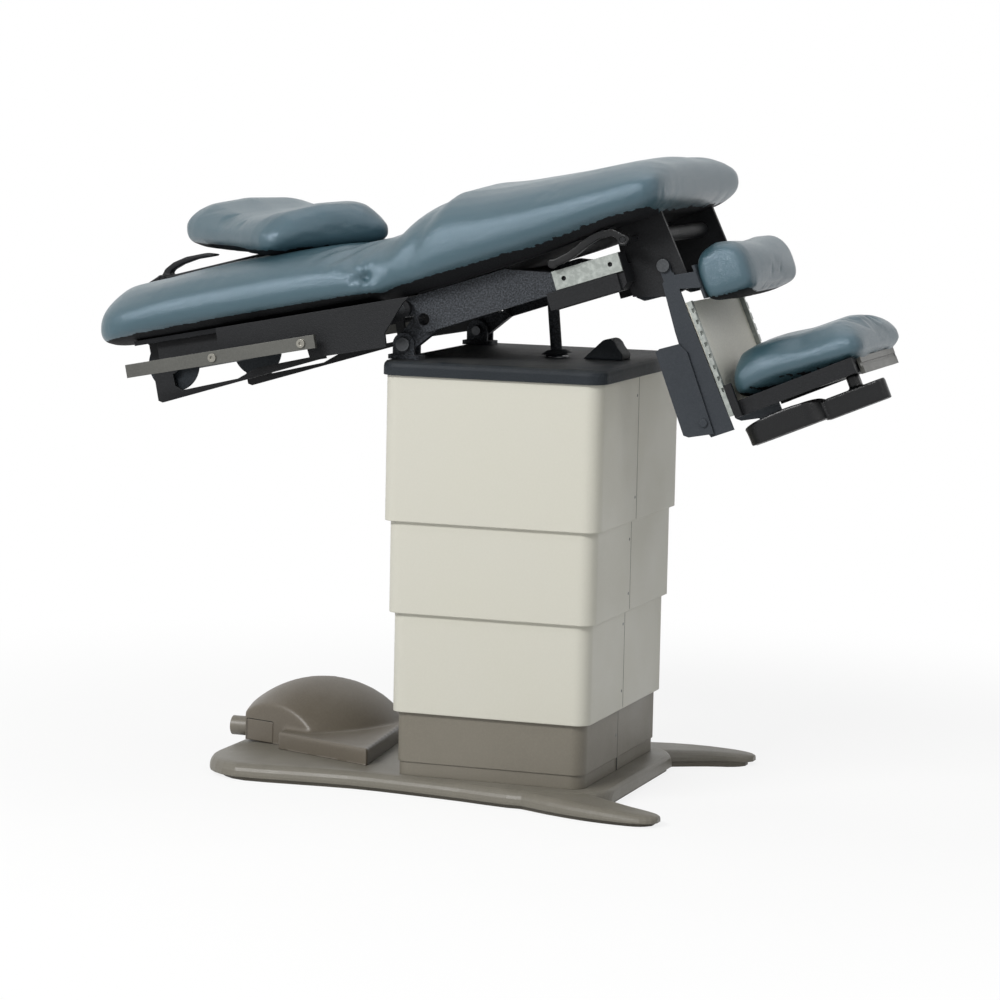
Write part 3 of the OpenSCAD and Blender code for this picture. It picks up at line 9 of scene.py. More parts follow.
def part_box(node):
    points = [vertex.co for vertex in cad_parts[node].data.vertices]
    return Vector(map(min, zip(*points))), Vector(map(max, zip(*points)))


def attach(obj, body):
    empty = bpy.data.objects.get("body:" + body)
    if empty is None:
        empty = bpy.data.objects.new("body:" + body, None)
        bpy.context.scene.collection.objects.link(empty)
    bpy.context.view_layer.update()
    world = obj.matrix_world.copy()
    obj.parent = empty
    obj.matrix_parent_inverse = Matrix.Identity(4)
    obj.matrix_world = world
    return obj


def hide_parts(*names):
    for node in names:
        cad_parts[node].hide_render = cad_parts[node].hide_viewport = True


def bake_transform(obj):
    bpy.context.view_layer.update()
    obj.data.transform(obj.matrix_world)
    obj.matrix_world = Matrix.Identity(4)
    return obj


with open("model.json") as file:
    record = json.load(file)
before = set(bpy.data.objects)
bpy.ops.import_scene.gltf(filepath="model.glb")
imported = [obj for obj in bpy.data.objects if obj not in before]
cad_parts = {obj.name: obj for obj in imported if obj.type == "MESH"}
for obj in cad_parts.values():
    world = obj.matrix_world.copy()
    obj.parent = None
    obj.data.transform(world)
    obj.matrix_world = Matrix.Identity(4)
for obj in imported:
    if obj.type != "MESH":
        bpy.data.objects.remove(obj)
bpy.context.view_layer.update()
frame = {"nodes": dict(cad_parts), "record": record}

nodes = frame["nodes"]
bodyOf = {node: body for body, names in frame["record"]["behaviour"]["bodies"].items() for node in names}
slotOf = {part["node"]: part["material_slot"] for part in frame["record"]["subparts"]}
print("frame loaded,", len(nodes), "nodes")

# the camera that the photo was fitted with, lens and sensor in millimetres
photoView = {"place": (2.2325, -6.6119, 1.3737), "target": (-0.06701, 0.0, 0.53514), "roll": 0.0206650655,
             "lens": 132.805, "sensor": 36, "clipEnd": 60}


def placeCamera():
    camera = bpy.data.objects.new("photoCamera", bpy.data.cameras.new("photoCamera"))
    camera.data.sensor_width = photoView["sensor"]
    camera.data.lens = photoView["lens"]
    camera.data.clip_end = photoView["clipEnd"]
    back = (Vector(photoView["place"]) - Vector(photoView["target"])).normalized()
    right = Vector((0, 0, 1)).cross(back).normalized()
    up = back.cross(right)
    c, s = math.cos(photoView["roll"]), math.sin(photoView["roll"])
    right, up = right * c + up * s, up * c - right * s
    turn = Matrix((right, up, back)).transposed().to_4x4()
    camera.matrix_world = Matrix.Translation(photoView["place"]) @ turn
    bpy.context.collection.objects.link(camera)
    bpy.context.scene.camera = camera


placeCamera()
bpy.context.scene.view_settings.view_transform = "Standard"


def makeObject(name, bm, material=None):
    mesh = bpy.data.meshes.new(name)
    bm.to_mesh(mesh)
    bm.free()
    piece = bpy.data.objects.new(name, mesh)
    bpy.context.collection.objects.link(piece)
    if material:
        mesh.materials.append(material)
    return piece


def dropObject(piece):
    mesh = piece.data
    bpy.data.objects.remove(piece)
    bpy.data.meshes.remove(mesh)


def perPoint(mesh, what):
    values = np.empty(len(mesh.vertices) * 3)
    mesh.vertices.foreach_get(what, values)
    return values.reshape(-1, 3)


def movePoints(piece, co):
    piece.data.vertices.foreach_set("co", np.asarray(co, dtype=float).ravel())
    piece.data.update()


def applied(piece):
    # the modifiers' result becomes the piece's own mesh
    graph = bpy.context.evaluated_depsgraph_get()
    mesh = bpy.data.meshes.new_from_object(piece.evaluated_get(graph))
    old = piece.data
    piece.modifiers.clear()
    piece.data = mesh
    bpy.data.meshes.remove(old)


def smoothShade(piece):
    piece.data.polygons.foreach_set("use_smooth", [True] * len(piece.data.polygons))
    piece.data.update()


weldDistance = 1e-6


def joinedCopy(name, nodeNames):
    bm = bmesh.new()
    for node in nodeNames:
        bm.from_mesh(nodes[node].data)
    bmesh.ops.remove_doubles(bm, verts=bm.verts, dist=weldDistance)
    return makeObject(name, bm)


def remeshed(piece, voxel, smoothing):
    mod = piece.modifiers.new("remesh", "REMESH")
    mod.mode = "VOXEL"
    mod.voxel_size = voxel
    mod.use_smooth_shade = True
    soft = piece.modifiers.new("soften", "SMOOTH")
    soft.factor = 0.5
    soft.iterations = smoothing
    applied(piece)


stuffing = {"pressure": 4.0, "frames": 20, "quality": 4, "mass": 0.25, "stretch": 25, "bend": 2}


def inflated(piece, cap):
    # cloth blown up from inside, each point held within the cap
    start = perPoint(piece.data, "co")
    cloth = piece.modifiers.new("cloth", "CLOTH")
    cloth.settings.quality = stuffing["quality"]
    cloth.settings.use_pressure = True
    cloth.settings.uniform_pressure_force = stuffing["pressure"]
    cloth.settings.effector_weights.gravity = 0
    cloth.settings.mass = stuffing["mass"]
    cloth.settings.tension_stiffness = stuffing["stretch"]
    cloth.settings.compression_stiffness = stuffing["stretch"]
    cloth.settings.bending_stiffness = stuffing["bend"]
    cloth.collision_settings.use_collision = False
    scene = bpy.context.scene
    for frameNumber in range(1, stuffing["frames"] + 1):
        scene.frame_set(frameNumber)
    graph = bpy.context.evaluated_depsgraph_get()
    co = perPoint(piece.evaluated_get(graph).to_mesh(), "co")
    piece.evaluated_get(graph).to_mesh_clear()
    piece.modifiers.clear()
    scene.frame_set(1)
    step = co - start
    far = np.linalg.norm(step, axis=1)
    step *= np.minimum(1.0, cap / np.maximum(far, 1e-9))[:, None]
    movePoints(piece, start + step)


def bump(distance, width):
    return np.exp(-(distance / width) ** 2)


def smoothStep(x, low, high):
    t = np.clip((x - low) / (high - low), 0, 1)
    return t * t * (3 - 2 * t)


def group(name, inputs, outputs):
    tree = bpy.data.node_groups.new(name, "ShaderNodeTree")
    for label, kind, value in inputs:
        socket = tree.interface.new_socket(name=label, in_out="INPUT", socket_type=kind)
        socket.default_value = value
    for label, kind in outputs:
        tree.interface.new_socket(name=label, in_out="OUTPUT", socket_type=kind)
    return tree, tree.nodes.new("NodeGroupInput"), tree.nodes.new("NodeGroupOutput")


def put(tree, kind, **values):
    # in_ and a socket's name or number sets that input, other names set the node itself
    node = tree.nodes.new(kind)
    for key, value in values.items():
        if key.startswith("in_"):
            label = key[3:]
            socket = int(label) if label.isdigit() else label.replace("_", " ")
            node.inputs[socket].default_value = value
        else:
            setattr(node, key, value)
    return node


def mathNode(tree, operation, a, b, clamp=False):
    node = put(tree, "ShaderNodeMath", operation=operation, use_clamp=clamp)
    for i, value in enumerate((a, b)):
        if isinstance(value, (int, float)):
            node.inputs[i].default_value = value
        else:
            tree.links.new(value, node.inputs[i])
    return node.outputs[0]


def scaled(tree, value, factor, offset):
    node = put(tree, "ShaderNodeMath", operation="MULTIPLY_ADD", in_1=factor, in_2=offset)
    tree.links.new(value, node.inputs[0])
    return node.outputs[0]


def ramp(tree, value, low, high):
    node = put(tree, "ShaderNodeMapRange", in_1=low, in_2=high)
    tree.links.new(value, node.inputs[0])
    return node.outputs[0]


def mixColor(tree, factor, a, b):
    node = put(tree, "ShaderNodeMix", data_type="RGBA")
    for value, socket in ((factor, node.inputs[0]), (a, node.inputs[6]), (b, node.inputs[7])):
        if isinstance(value, (int, float, tuple)):
            socket.default_value = value
        else:
            tree.links.new(value, socket)
    return node.outputs[2]


def onObject(tree, kind, **values):
    # texture node that follows the object's own coordinates
    where = put(tree, "ShaderNodeTexCoord")
    texture = put(tree, kind, **values)
    tree.links.new(where.outputs["Object"], texture.inputs["Vector"])
    return texture


floatSocket, vectorSocket = "NodeSocketFloat", "NodeSocketVector"


def buildEdgeWear():
    tree, inside, out = group("edgeWear", [("Radius", floatSocket, 0.002), ("Amount", floatSocket, 0.5)],
                              [("Mask", floatSocket)])
    bevel = put(tree, "ShaderNodeBevel", samples=4)
    tree.links.new(inside.outputs["Radius"], bevel.inputs["Radius"])
    plain = put(tree, "ShaderNodeNewGeometry")
    dot = put(tree, "ShaderNodeVectorMath", operation="DOT_PRODUCT")
    tree.links.new(bevel.outputs[0], dot.inputs[0])
    tree.links.new(plain.outputs["Normal"], dot.inputs[1])
    edge = ramp(tree, mathNode(tree, "SUBTRACT", 1.0, dot.outputs["Value"]), low=0.01, high=0.22)
    noise = onObject(tree, "ShaderNodeTexNoise", in_Scale=38.0, in_Detail=6.0, in_Roughness=0.7)
    worn = mathNode(tree, "MULTIPLY", edge, ramp(tree, noise.outputs["Fac"], low=0.42, high=0.68))
    amount = mathNode(tree, "MULTIPLY", worn, inside.outputs["Amount"], clamp=True)
    tree.links.new(amount, out.inputs["Mask"])
    return tree


def buildMottle():
    tree, inside, out = group("mottle", [("Scale", floatSocket, 5.0), ("Low", floatSocket, 0.35),
                                         ("High", floatSocket, 0.65)], [("Fac", floatSocket)])
    noise = onObject(tree, "ShaderNodeTexNoise", in_Detail=5.0, in_Roughness=0.6)
    tree.links.new(inside.outputs["Scale"], noise.inputs["Scale"])
    node = put(tree, "ShaderNodeMapRange")
    tree.links.new(noise.outputs["Fac"], node.inputs[0])
    tree.links.new(inside.outputs["Low"], node.inputs[1])
    tree.links.new(inside.outputs["High"], node.inputs[2])
    tree.links.new(node.outputs[0], out.inputs["Fac"])
    return tree


def buildDust():
    tree, inside, out = group("dust", [("Amount", floatSocket, 0.3)], [("Mask", floatSocket)])
    shape = put(tree, "ShaderNodeNewGeometry")
    split = put(tree, "ShaderNodeSeparateXYZ")
    tree.links.new(shape.outputs["Normal"], split.inputs[0])
    noise = onObject(tree, "ShaderNodeTexNoise", in_Scale=14.0, in_Detail=6.0, in_Roughness=0.65)
    up = ramp(tree, split.outputs["Z"], low=0.55, high=1.0)
    mask = mathNode(tree, "MULTIPLY", up, ramp(tree, noise.outputs["Fac"], low=0.35, high=0.75))
    amount = mathNode(tree, "MULTIPLY", mask, inside.outputs["Amount"], clamp=True)
    tree.links.new(amount, out.inputs["Mask"])
    return tree


def buildFineGrain():
    # fine texture of moulded plastic, powder coat and castings, as a height
    tree, inside, out = group("fineGrain", [("Scale", floatSocket, 900.0), ("Pits", floatSocket, 0.3)],
                              [("Height", floatSocket)])
    noise = onObject(tree, "ShaderNodeTexNoise", in_Detail=3.0, in_Roughness=0.6)
    tree.links.new(inside.outputs["Scale"], noise.inputs["Scale"])
    cells = onObject(tree, "ShaderNodeTexVoronoi", in_Randomness=1.0)
    tree.links.new(mathNode(tree, "MULTIPLY", inside.outputs["Scale"], 0.6), cells.inputs["Scale"])
    pits = mathNode(tree, "MULTIPLY", cells.outputs["Distance"], inside.outputs["Pits"])
    tree.links.new(mathNode(tree, "ADD", noise.outputs["Fac"], pits), out.inputs["Height"])
    return tree


def buildVinylGrain():
    # pebbled leathercloth with faint large waves
    tree, inside, out = group("vinylGrain", [("Scale", floatSocket, 700.0), ("Waves", floatSocket, 0.5)],
                              [("Height", floatSocket)])
    where = put(tree, "ShaderNodeTexCoord")
    warp = put(tree, "ShaderNodeTexNoise", in_Scale=60.0, in_Detail=2.0)
    tree.links.new(where.outputs["Object"], warp.inputs["Vector"])
    shift = put(tree, "ShaderNodeVectorMath", operation="MULTIPLY_ADD", in_1=(0.004, 0.004, 0.004))
    tree.links.new(warp.outputs["Color"], shift.inputs[0])
    tree.links.new(where.outputs["Object"], shift.inputs[2])
    cells = put(tree, "ShaderNodeTexVoronoi", feature="DISTANCE_TO_EDGE")
    tree.links.new(shift.outputs[0], cells.inputs["Vector"])
    tree.links.new(inside.outputs["Scale"], cells.inputs["Scale"])
    pebble = ramp(tree, cells.outputs["Distance"], low=0.0, high=0.28)
    wave = onObject(tree, "ShaderNodeTexNoise", in_Scale=9.0, in_Detail=3.0, in_Roughness=0.45)
    waves = mathNode(tree, "MULTIPLY", wave.outputs["Fac"], inside.outputs["Waves"])
    tree.links.new(mathNode(tree, "ADD", pebble, waves), out.inputs["Height"])
    return tree


def buildBrushed():
    tree, inside, out = group("brushed", [("Stretch", vectorSocket, (3.0, 400.0, 400.0))], [("Fac", floatSocket)])
    where = put(tree, "ShaderNodeTexCoord")
    scale = put(tree, "ShaderNodeVectorMath", operation="MULTIPLY")
    tree.links.new(where.outputs["Object"], scale.inputs[0])
    tree.links.new(inside.outputs["Stretch"], scale.inputs[1])
    noise = put(tree, "ShaderNodeTexNoise", in_Scale=1.0, in_Detail=4.0, in_Roughness=0.7)
    tree.links.new(scale.outputs[0], noise.inputs["Vector"])
    tree.links.new(noise.outputs["Fac"], out.inputs["Fac"])
    return tree


effects = {"edgeWear": buildEdgeWear(), "mottle": buildMottle(), "dust": buildDust(),
           "fineGrain": buildFineGrain(), "vinylGrain": buildVinylGrain(), "brushed": buildBrushed()}


def place(tree, effect, **values):
    node = put(tree, "ShaderNodeGroup", node_tree=effects[effect])
    for key, value in values.items():
        node.inputs[key].default_value = value
    return node


def linear(r, g, b):
    def one(v):
        v /= 255
        return v / 12.92 if v <= 0.04045 else ((v + 0.055) / 1.055) ** 2.4
    return (one(r), one(g), one(b), 1.0)


def emptyMaterial(name):
    mat = bpy.data.materials.new(name)
    mat.use_nodes = True
    mat.node_tree.nodes.clear()
    return mat, mat.node_tree


# each finish: main and second colour, roughness, grain per metre and its depth, worn edges' colour, amount
# and radius, dust; where it differs from the usual, metal, gloss, and the specks' brightness and number per metre
finishes = {
    "coverCream": dict(main=(190, 188, 177), second=(189, 187, 175), rough=0.42, grain=1400, depth=0.00003,
                       worn=(226, 224, 214), wear=0.15, edge=0.004, dust=0.05, speck=1.02),
    "coverBase": dict(main=(112, 107, 96), second=(107, 102, 91), rough=0.46, grain=1100, depth=0.00005,
                      worn=(160, 155, 143), wear=0.30, edge=0.003, dust=0.12, speck=1.05),
    "baseTaupe": dict(main=(106, 102, 92), second=(100, 96, 86), rough=0.42, grain=1000, depth=0.00006,
                      worn=(158, 152, 140), wear=0.25, edge=0.003, dust=0.2),
    "pumpTaupe": dict(main=(98, 91, 80), second=(93, 86, 75), rough=0.36, grain=1100, depth=0.00004,
                      worn=(140, 134, 122), wear=0.2, edge=0.003, dust=0.12),
    "floorPlateBlack": dict(main=(84, 79, 69), second=(74, 70, 61), rough=0.55, grain=700, depth=0.00008,
                            worn=(96, 94, 90), wear=0.4, edge=0.002, dust=0.3),
    # the inlet's near-white worn edge colour is partly edge wear and partly a painted highlight ring
    "inletGrey": dict(main=(112, 107, 97), second=(103, 98, 88), rough=0.40, grain=1200, depth=0.00003,
                      worn=(205, 205, 200), wear=0.3, edge=0.001, dust=0.1),
    "motorGrey": dict(main=(66, 68, 71), second=(54, 56, 59), rough=0.5, grain=500, depth=0.0001,
                      worn=(120, 122, 124), wear=0.4, edge=0.002, dust=0.3),
    "capBlack": dict(main=(34, 38, 42), second=(29, 33, 37), rough=0.55, grain=420, depth=0.00014,
                     worn=(96, 99, 102), wear=0.35, edge=0.003, dust=0.14, gloss=0.16, speck=1.4, speckSize=420.0),
    "frameGrey": dict(main=(40, 42, 45), second=(32, 34, 37), rough=0.58, grain=330, depth=0.0004,
                      worn=(120, 121, 124), wear=0.45, edge=0.002, dust=0.1, gloss=0.18, speck=2.6, speckSize=330.0),
    "mechanismBlack": dict(main=(20, 21, 23), second=(15, 16, 18), rough=0.5, grain=650, depth=0.0001,
                           worn=(92, 93, 95), wear=0.45, edge=0.0015, dust=0.08, gloss=0.22, speck=1.6,
                           speckSize=300.0),
    "gripBlack": dict(main=(15, 16, 18), second=(12, 13, 14), rough=0.30, grain=800, depth=0.00005,
                      worn=(70, 71, 73), wear=0.3, edge=0.0015, dust=0.05, gloss=0.32),
    "boardBlack": dict(main=(27, 28, 30), second=(21, 22, 24), rough=0.7, grain=300, depth=0.0002,
                       worn=(60, 61, 63), wear=0.2, edge=0.001, dust=0.08, gloss=0.12),
    "panelCream": dict(main=(236, 233, 219), second=(230, 227, 213), rough=0.45, grain=1200, depth=0.00004,
                       worn=(215, 214, 204), wear=0.3, edge=0.0015, dust=0.1),
    "footGrey": dict(main=(50, 54, 59), second=(45, 49, 54), rough=0.5, grain=700, depth=0.0001,
                     worn=(118, 122, 126), wear=0.4, edge=0.0015, dust=0.1, gloss=0.2),
    "mastSteel": dict(main=(150, 152, 154), second=(132, 134, 137), rough=0.36, grain=900, depth=0.00003,
                      worn=(200, 200, 200), wear=0.3, edge=0.001, dust=0.1, metal=1.0),
    "brightSteel": dict(main=(150, 148, 140), second=(128, 126, 119), rough=0.32, grain=1200, depth=0.00002,
                        worn=(220, 220, 220), wear=0.2, edge=0.0008, dust=0.05, metal=1.0),
    "railGrey": dict(main=(92, 92, 88), second=(78, 78, 75), rough=0.40, grain=700, depth=0.00005,
                     worn=(150, 150, 146), wear=0.5, edge=0.0012, dust=0.06, metal=0.6),
    "darkSteel": dict(main=(84, 86, 88), second=(66, 68, 70), rough=0.34, grain=900, depth=0.00003,
                      worn=(150, 151, 152), wear=0.5, edge=0.001, dust=0.05, metal=0.9),
    "zinc": dict(main=(146, 150, 146), second=(136, 141, 137), rough=0.42, grain=700, depth=0.00005,
                 worn=(205, 208, 204), wear=0.4, edge=0.0012, dust=0.08, metal=0.6, speck=1.3, speckSize=90.0),
}
# what all hard finishes share
surface = {"mottleScale": 5.5, "speckLow": 0.42, "speckHigh": 0.72, "speckMix": 0.5, "dust": (168, 164, 154),
           "roughSpread": 0.10, "roughFromDust": 0.5, "brushLoss": 0.25, "brushLift": 0.12,
           "relief": 0.6, "reliefScale": 8, "roundShare": 0.7}


def hardMaterial(name, main, second, rough, grain, depth, worn, wear, edge, dust,
                 metal=0.0, gloss=0.5, speck=1.08, speckSize=240.0):
    mat, tree = emptyMaterial(name)
    shader = put(tree, "ShaderNodeBsdfPrincipled")
    out = put(tree, "ShaderNodeOutputMaterial")
    tree.links.new(shader.outputs[0], out.inputs[0])
    shader.inputs["Specular IOR Level"].default_value = gloss
    mottle = place(tree, "mottle", Scale=surface["mottleScale"])
    color = mixColor(tree, mottle.outputs["Fac"], linear(*main), linear(*second))
    specks = place(tree, "mottle", Scale=speckSize, Low=surface["speckLow"], High=surface["speckHigh"])
    share = mathNode(tree, "MULTIPLY", specks.outputs["Fac"], surface["speckMix"])
    color = mixColor(tree, share, color, linear(*[min(255, v * speck) for v in main]))
    edges = place(tree, "edgeWear", Radius=edge, Amount=wear)
    color = mixColor(tree, edges.outputs["Mask"], color, linear(*worn))
    dirt = place(tree, "dust", Amount=dust)
    color = mixColor(tree, dirt.outputs["Mask"], color, linear(*surface["dust"]))
    tree.links.new(color, shader.inputs["Base Color"])
    level = scaled(tree, mottle.outputs["Fac"], surface["roughSpread"], rough - surface["roughSpread"] / 2)
    dull = mathNode(tree, "MULTIPLY", dirt.outputs["Mask"], surface["roughFromDust"])
    tree.links.new(mathNode(tree, "ADD", level, dull, clamp=True), shader.inputs["Roughness"])
    if metal:
        lines = place(tree, "brushed")
        wiped = scaled(tree, lines.outputs["Fac"], -surface["brushLoss"], metal + surface["brushLift"])
        tree.links.new(mathNode(tree, "MINIMUM", wiped, 1.0), shader.inputs["Metallic"])
    height = place(tree, "fineGrain", Scale=float(grain))
    relief = put(tree, "ShaderNodeBump", in_Strength=surface["relief"], in_Distance=depth * surface["reliefScale"])
    tree.links.new(height.outputs["Height"], relief.inputs["Height"])
    rounded = put(tree, "ShaderNodeBevel", samples=4, in_Radius=edge * surface["roundShare"])
    tree.links.new(rounded.outputs[0], relief.inputs["Normal"])
    tree.links.new(relief.outputs[0], shader.inputs["Normal"])
    return mat


vinyl = {"main": (56, 81, 89), "second": (50, 74, 82), "rub": (66, 91, 99), "rubScale": 26.0, "rubMix": 0.22,
         "mottleScale": 3.2, "rough": 0.28, "roughFromRub": 0.06, "gloss": 0.9, "shine": (0.74, 0.86, 1.0, 1.0),
         "grain": 620.0, "waves": 0.9, "relief": 0.35, "depth": 0.0006}


def vinylMaterial(name):
    mat, tree = emptyMaterial(name)
    shader = put(tree, "ShaderNodeBsdfPrincipled")
    out = put(tree, "ShaderNodeOutputMaterial")
    tree.links.new(shader.outputs[0], out.inputs[0])
    mottle = place(tree, "mottle", Scale=vinyl["mottleScale"], Low=0.3, High=0.7)
    color = mixColor(tree, mottle.outputs["Fac"], linear(*vinyl["main"]), linear(*vinyl["second"]))
    rub = place(tree, "mottle", Scale=vinyl["rubScale"], Low=0.55, High=0.8)
    share = mathNode(tree, "MULTIPLY", rub.outputs["Fac"], vinyl["rubMix"])
    tree.links.new(mixColor(tree, share, color, linear(*vinyl["rub"])), shader.inputs["Base Color"])
    level = scaled(tree, rub.outputs["Fac"], vinyl["roughFromRub"], vinyl["rough"])
    tree.links.new(level, shader.inputs["Roughness"])
    shader.inputs["Specular IOR Level"].default_value = vinyl["gloss"]
    shader.inputs["Specular Tint"].default_value = vinyl["shine"]
    grain = place(tree, "vinylGrain", Scale=vinyl["grain"], Waves=vinyl["waves"])
    relief = put(tree, "ShaderNodeBump", in_Strength=vinyl["relief"], in_Distance=vinyl["depth"])
    tree.links.new(grain.outputs["Height"], relief.inputs["Height"])
    tree.links.new(relief.outputs[0], shader.inputs["Normal"])
    return mat


mats = {name: hardMaterial(name, **values) for name, values in finishes.items()}
mats["vinylBlue"] = vinylMaterial("vinylBlue")
slotFinish = {
    "floor_plate_black": "floorPlateBlack", "base_taupe": "baseTaupe", "pump_taupe": "pumpTaupe",
    "inlet_grey": "inletGrey", "motor_grey": "motorGrey", "cover_cream": "coverCream", "cover_base": "coverBase",
    "mast_steel": "mastSteel", "bright_steel": "brightSteel", "cap_black": "capBlack", "frame_grey": "frameGrey",
    "mechanism_black": "mechanismBlack", "zinc": "zinc", "grip_black": "gripBlack", "vinyl_blue": "vinylBlue",
    "board_black": "boardBlack", "panel_cream": "panelCream", "foot_grey": "footGrey",
}
nodeFinish = {"accessory_rails": "railGrey", "knee_end_rail": "railGrey",
              "tilt_pins": "darkSteel", "foot_pins": "darkSteel"}
for node, piece in nodes.items():
    for slot in piece.material_slots:
        slot.material = mats[nodeFinish.get(node, slotFinish[slotOf[node]])]
print("materials placed on", len(nodes), "nodes")

upholstery = {"voxel": 0.007, "smoothing": 8, "cap": 0.006, "boardFacing": -0.80,
              "rise": {"at": -0.125, "long": 0.075, "high": 0.017},
              "dip": {"at": -0.200, "long": 0.022, "deep": 0.008},
              "pinch": {"at": (-0.236, 0.300, 0.975), "deep": 0.007, "wide": 0.018},
              "valley": {"to": (-0.163, 0.300, 1.060), "deep": 0.015, "wide": 0.010, "shallower": 0.4},
              "crease": {"by": (0.030, 0, -0.022), "share": 0.5, "wide": 0.007},
              "folds": {"high": 0.0013, "number": 7, "turned": 0.8, "away": 0.024, "wide": 0.013,
                        "fade": (-0.020, 0.015)},
              "waves": {"at": (-0.300, 0.20), "size": (0.050, 0.11), "high": 0.0028, "length": 0.0062,
                        "direction": (0.85, 0.5)},
              "ends": ((-0.690, -0.800, 0.011), (0.200, 0.315, 0.008)), "endEdge": 0.02}


def toSegment(co, a, b):
    along = np.clip(((co - a) @ (b - a)) / ((b - a) @ (b - a)), 0, 1)
    return np.linalg.norm(co - a - along[:, None] * (b - a), axis=1), along


def fuller(co, start, end, amount):
    # thickens an end of a cushion evenly about its own middle height
    t = smoothStep(co[:, 0], start, end)
    inside = t > 0.01
    middle = np.polyfit(co[inside, 0], co[inside, 2], 1)
    co[:, 2] += t * amount * np.tanh((co[:, 2] - np.polyval(middle, co[:, 0])) / upholstery["endEdge"])
    return co


def pinched(co, no, side):
    # draws the skin in at one side of the hinge, with a valley over the top and small folds around
    pinch, valley, crease = upholstery["pinch"], upholstery["valley"], upholstery["crease"]
    folds, waves = upholstery["folds"], upholstery["waves"]
    at, top = (np.array(spot) * (1, side, 1) for spot in (pinch["at"], valley["to"]))
    away = co - at
    reach = np.linalg.norm(away, axis=1)
    turn = np.arctan2(away[:, 2], away[:, 0])
    pull = pinch["deep"] * bump(reach, pinch["wide"])
    line, along = toSegment(co, at, top)
    pull += valley["deep"] * bump(line, valley["wide"]) * (1 - valley["shallower"] * along)
    line, along = toSegment(co, at, at + crease["by"])
    pull += crease["share"] * valley["deep"] * bump(line, crease["wide"])
    ridges = folds["high"] * np.sin(folds["number"] * turn + folds["turned"])
    ridges *= bump(reach - folds["away"], folds["wide"]) * smoothStep(-away[:, 0], *folds["fade"])
    co -= no * (pull + ridges)[:, None]
    # shallow waves on the back beside the pinch
    (x, y), (long, wide), (alongX, alongY) = waves["at"], waves["size"], waves["direction"]
    spot = bump(co[:, 0] - x, long) * bump(co[:, 1] - side * y, wide) * np.clip(no[:, 2], 0, 1)
    co[:, 2] += waves["high"] * spot * np.sin((co[:, 0] * alongX + side * co[:, 1] * alongY) / waves["length"])


def foldOver(piece):
    co, no = perPoint(piece.data, "co"), perPoint(piece.data, "normal")
    # the seat swells over its head end and dips where the back begins
    rise, dip, facingUp = upholstery["rise"], upholstery["dip"], np.clip(no[:, 2], 0, 1)
    co[:, 2] += rise["high"] * bump(co[:, 0] - rise["at"], rise["long"]) * facingUp
    co[:, 2] -= dip["deep"] * bump(co[:, 0] - dip["at"], dip["long"]) * facingUp
    for side in (-1, 1):
        pinched(co, no, side)
    for end in upholstery["ends"]:
        co = fuller(co, *end)
    movePoints(piece, co)


def boardUnderside(piece):
    # the vinyl is folded under onto a black board
    piece.data.materials.append(mats["boardBlack"])
    for face in piece.data.polygons:
        if face.normal.z < upholstery["boardFacing"]:
            face.material_index = 1


def makeUpholstery():
    # back, fold and seat under one skin of vinyl, pinched over the hinge
    piece = joinedCopy("upholstery", ["seat_cushion", "hinge_fold", "back_cushion"])
    remeshed(piece, upholstery["voxel"], upholstery["smoothing"])
    inflated(piece, upholstery["cap"])
    piece.modifiers.new("finer", "SUBSURF").levels = 1
    applied(piece)
    foldOver(piece)
    smoothShade(piece)
    piece.data.materials.append(mats["vinylBlue"])
    boardUnderside(piece)
    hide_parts("seat_cushion", "hinge_fold", "back_cushion")
    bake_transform(piece)


# places along and across are shares of the pillow's size from its middle
pillow = {"longer": 1.06, "shift": -0.006, "lower": 0.010, "slope": 0.12, "topFrom": -0.01, "topTo": 0.02,
          "hollow": {"at": 0.03, "long": 0.30, "wide": 0.34, "deep": 0.010},
          "neckEnd": {"at": 0.30, "long": 0.24, "high": 0.016},
          "corner": {"at": (-0.36, -0.34), "wide": 0.14, "high": 0.006}}


def dishPillow(co, low, high):
    # longer and lower over the back, with a hollow for the head, a raised neck end and a full corner
    hollow, neckEnd, corner = pillow["hollow"], pillow["neckEnd"], pillow["corner"]
    mid = (low + high) / 2
    co[:, 0] = mid[0] + (co[:, 0] - mid[0]) * pillow["longer"] + pillow["shift"]
    x, y = (co[:, 0] - mid[0]) / (high[0] - low[0]), (co[:, 1] - mid[1]) / (high[1] - low[1])
    middleHeight = mid[2] + pillow["slope"] * (co[:, 0] - mid[0])
    topSide = smoothStep(co[:, 2] - middleHeight, pillow["topFrom"], pillow["topTo"])
    co[:, 2] -= hollow["deep"] * bump(x - hollow["at"], hollow["long"]) * bump(y, hollow["wide"]) * topSide
    co[:, 2] += neckEnd["high"] * bump(x - neckEnd["at"], neckEnd["long"]) * topSide
    away = np.hypot(x - corner["at"][0], y - corner["at"][1])
    co[:, 2] += corner["high"] * bump(away, corner["wide"]) * topSide
    co[:, 2] -= pillow["lower"]
    return co


kneePad = {"from": 0.02, "slope": 0.20, "soft": 0.05, "rise": 0.004, "headRise": 0.020,
           "longer": 0.028, "longerFrom": 0.05}


def fillKnee(co, low, high):
    # fuller at its head end, with the saddle kept
    t = 1 - smoothStep(co[:, 0], low[0] + kneePad["from"], high[0])
    underside = low[2] + kneePad["slope"] * (co[:, 0] - low[0])
    up = np.clip((co[:, 2] - underside) / kneePad["soft"], 0, 1)
    co[:, 2] += (kneePad["rise"] + kneePad["headRise"] * t) * up
    co[:, 0] += kneePad["longer"] * smoothStep(co[:, 0], low[0] + kneePad["longerFrom"], high[0])
    return co


upperPad = {"thicker": 0.012, "taller": 0.008, "tallerFrom": 0.03}


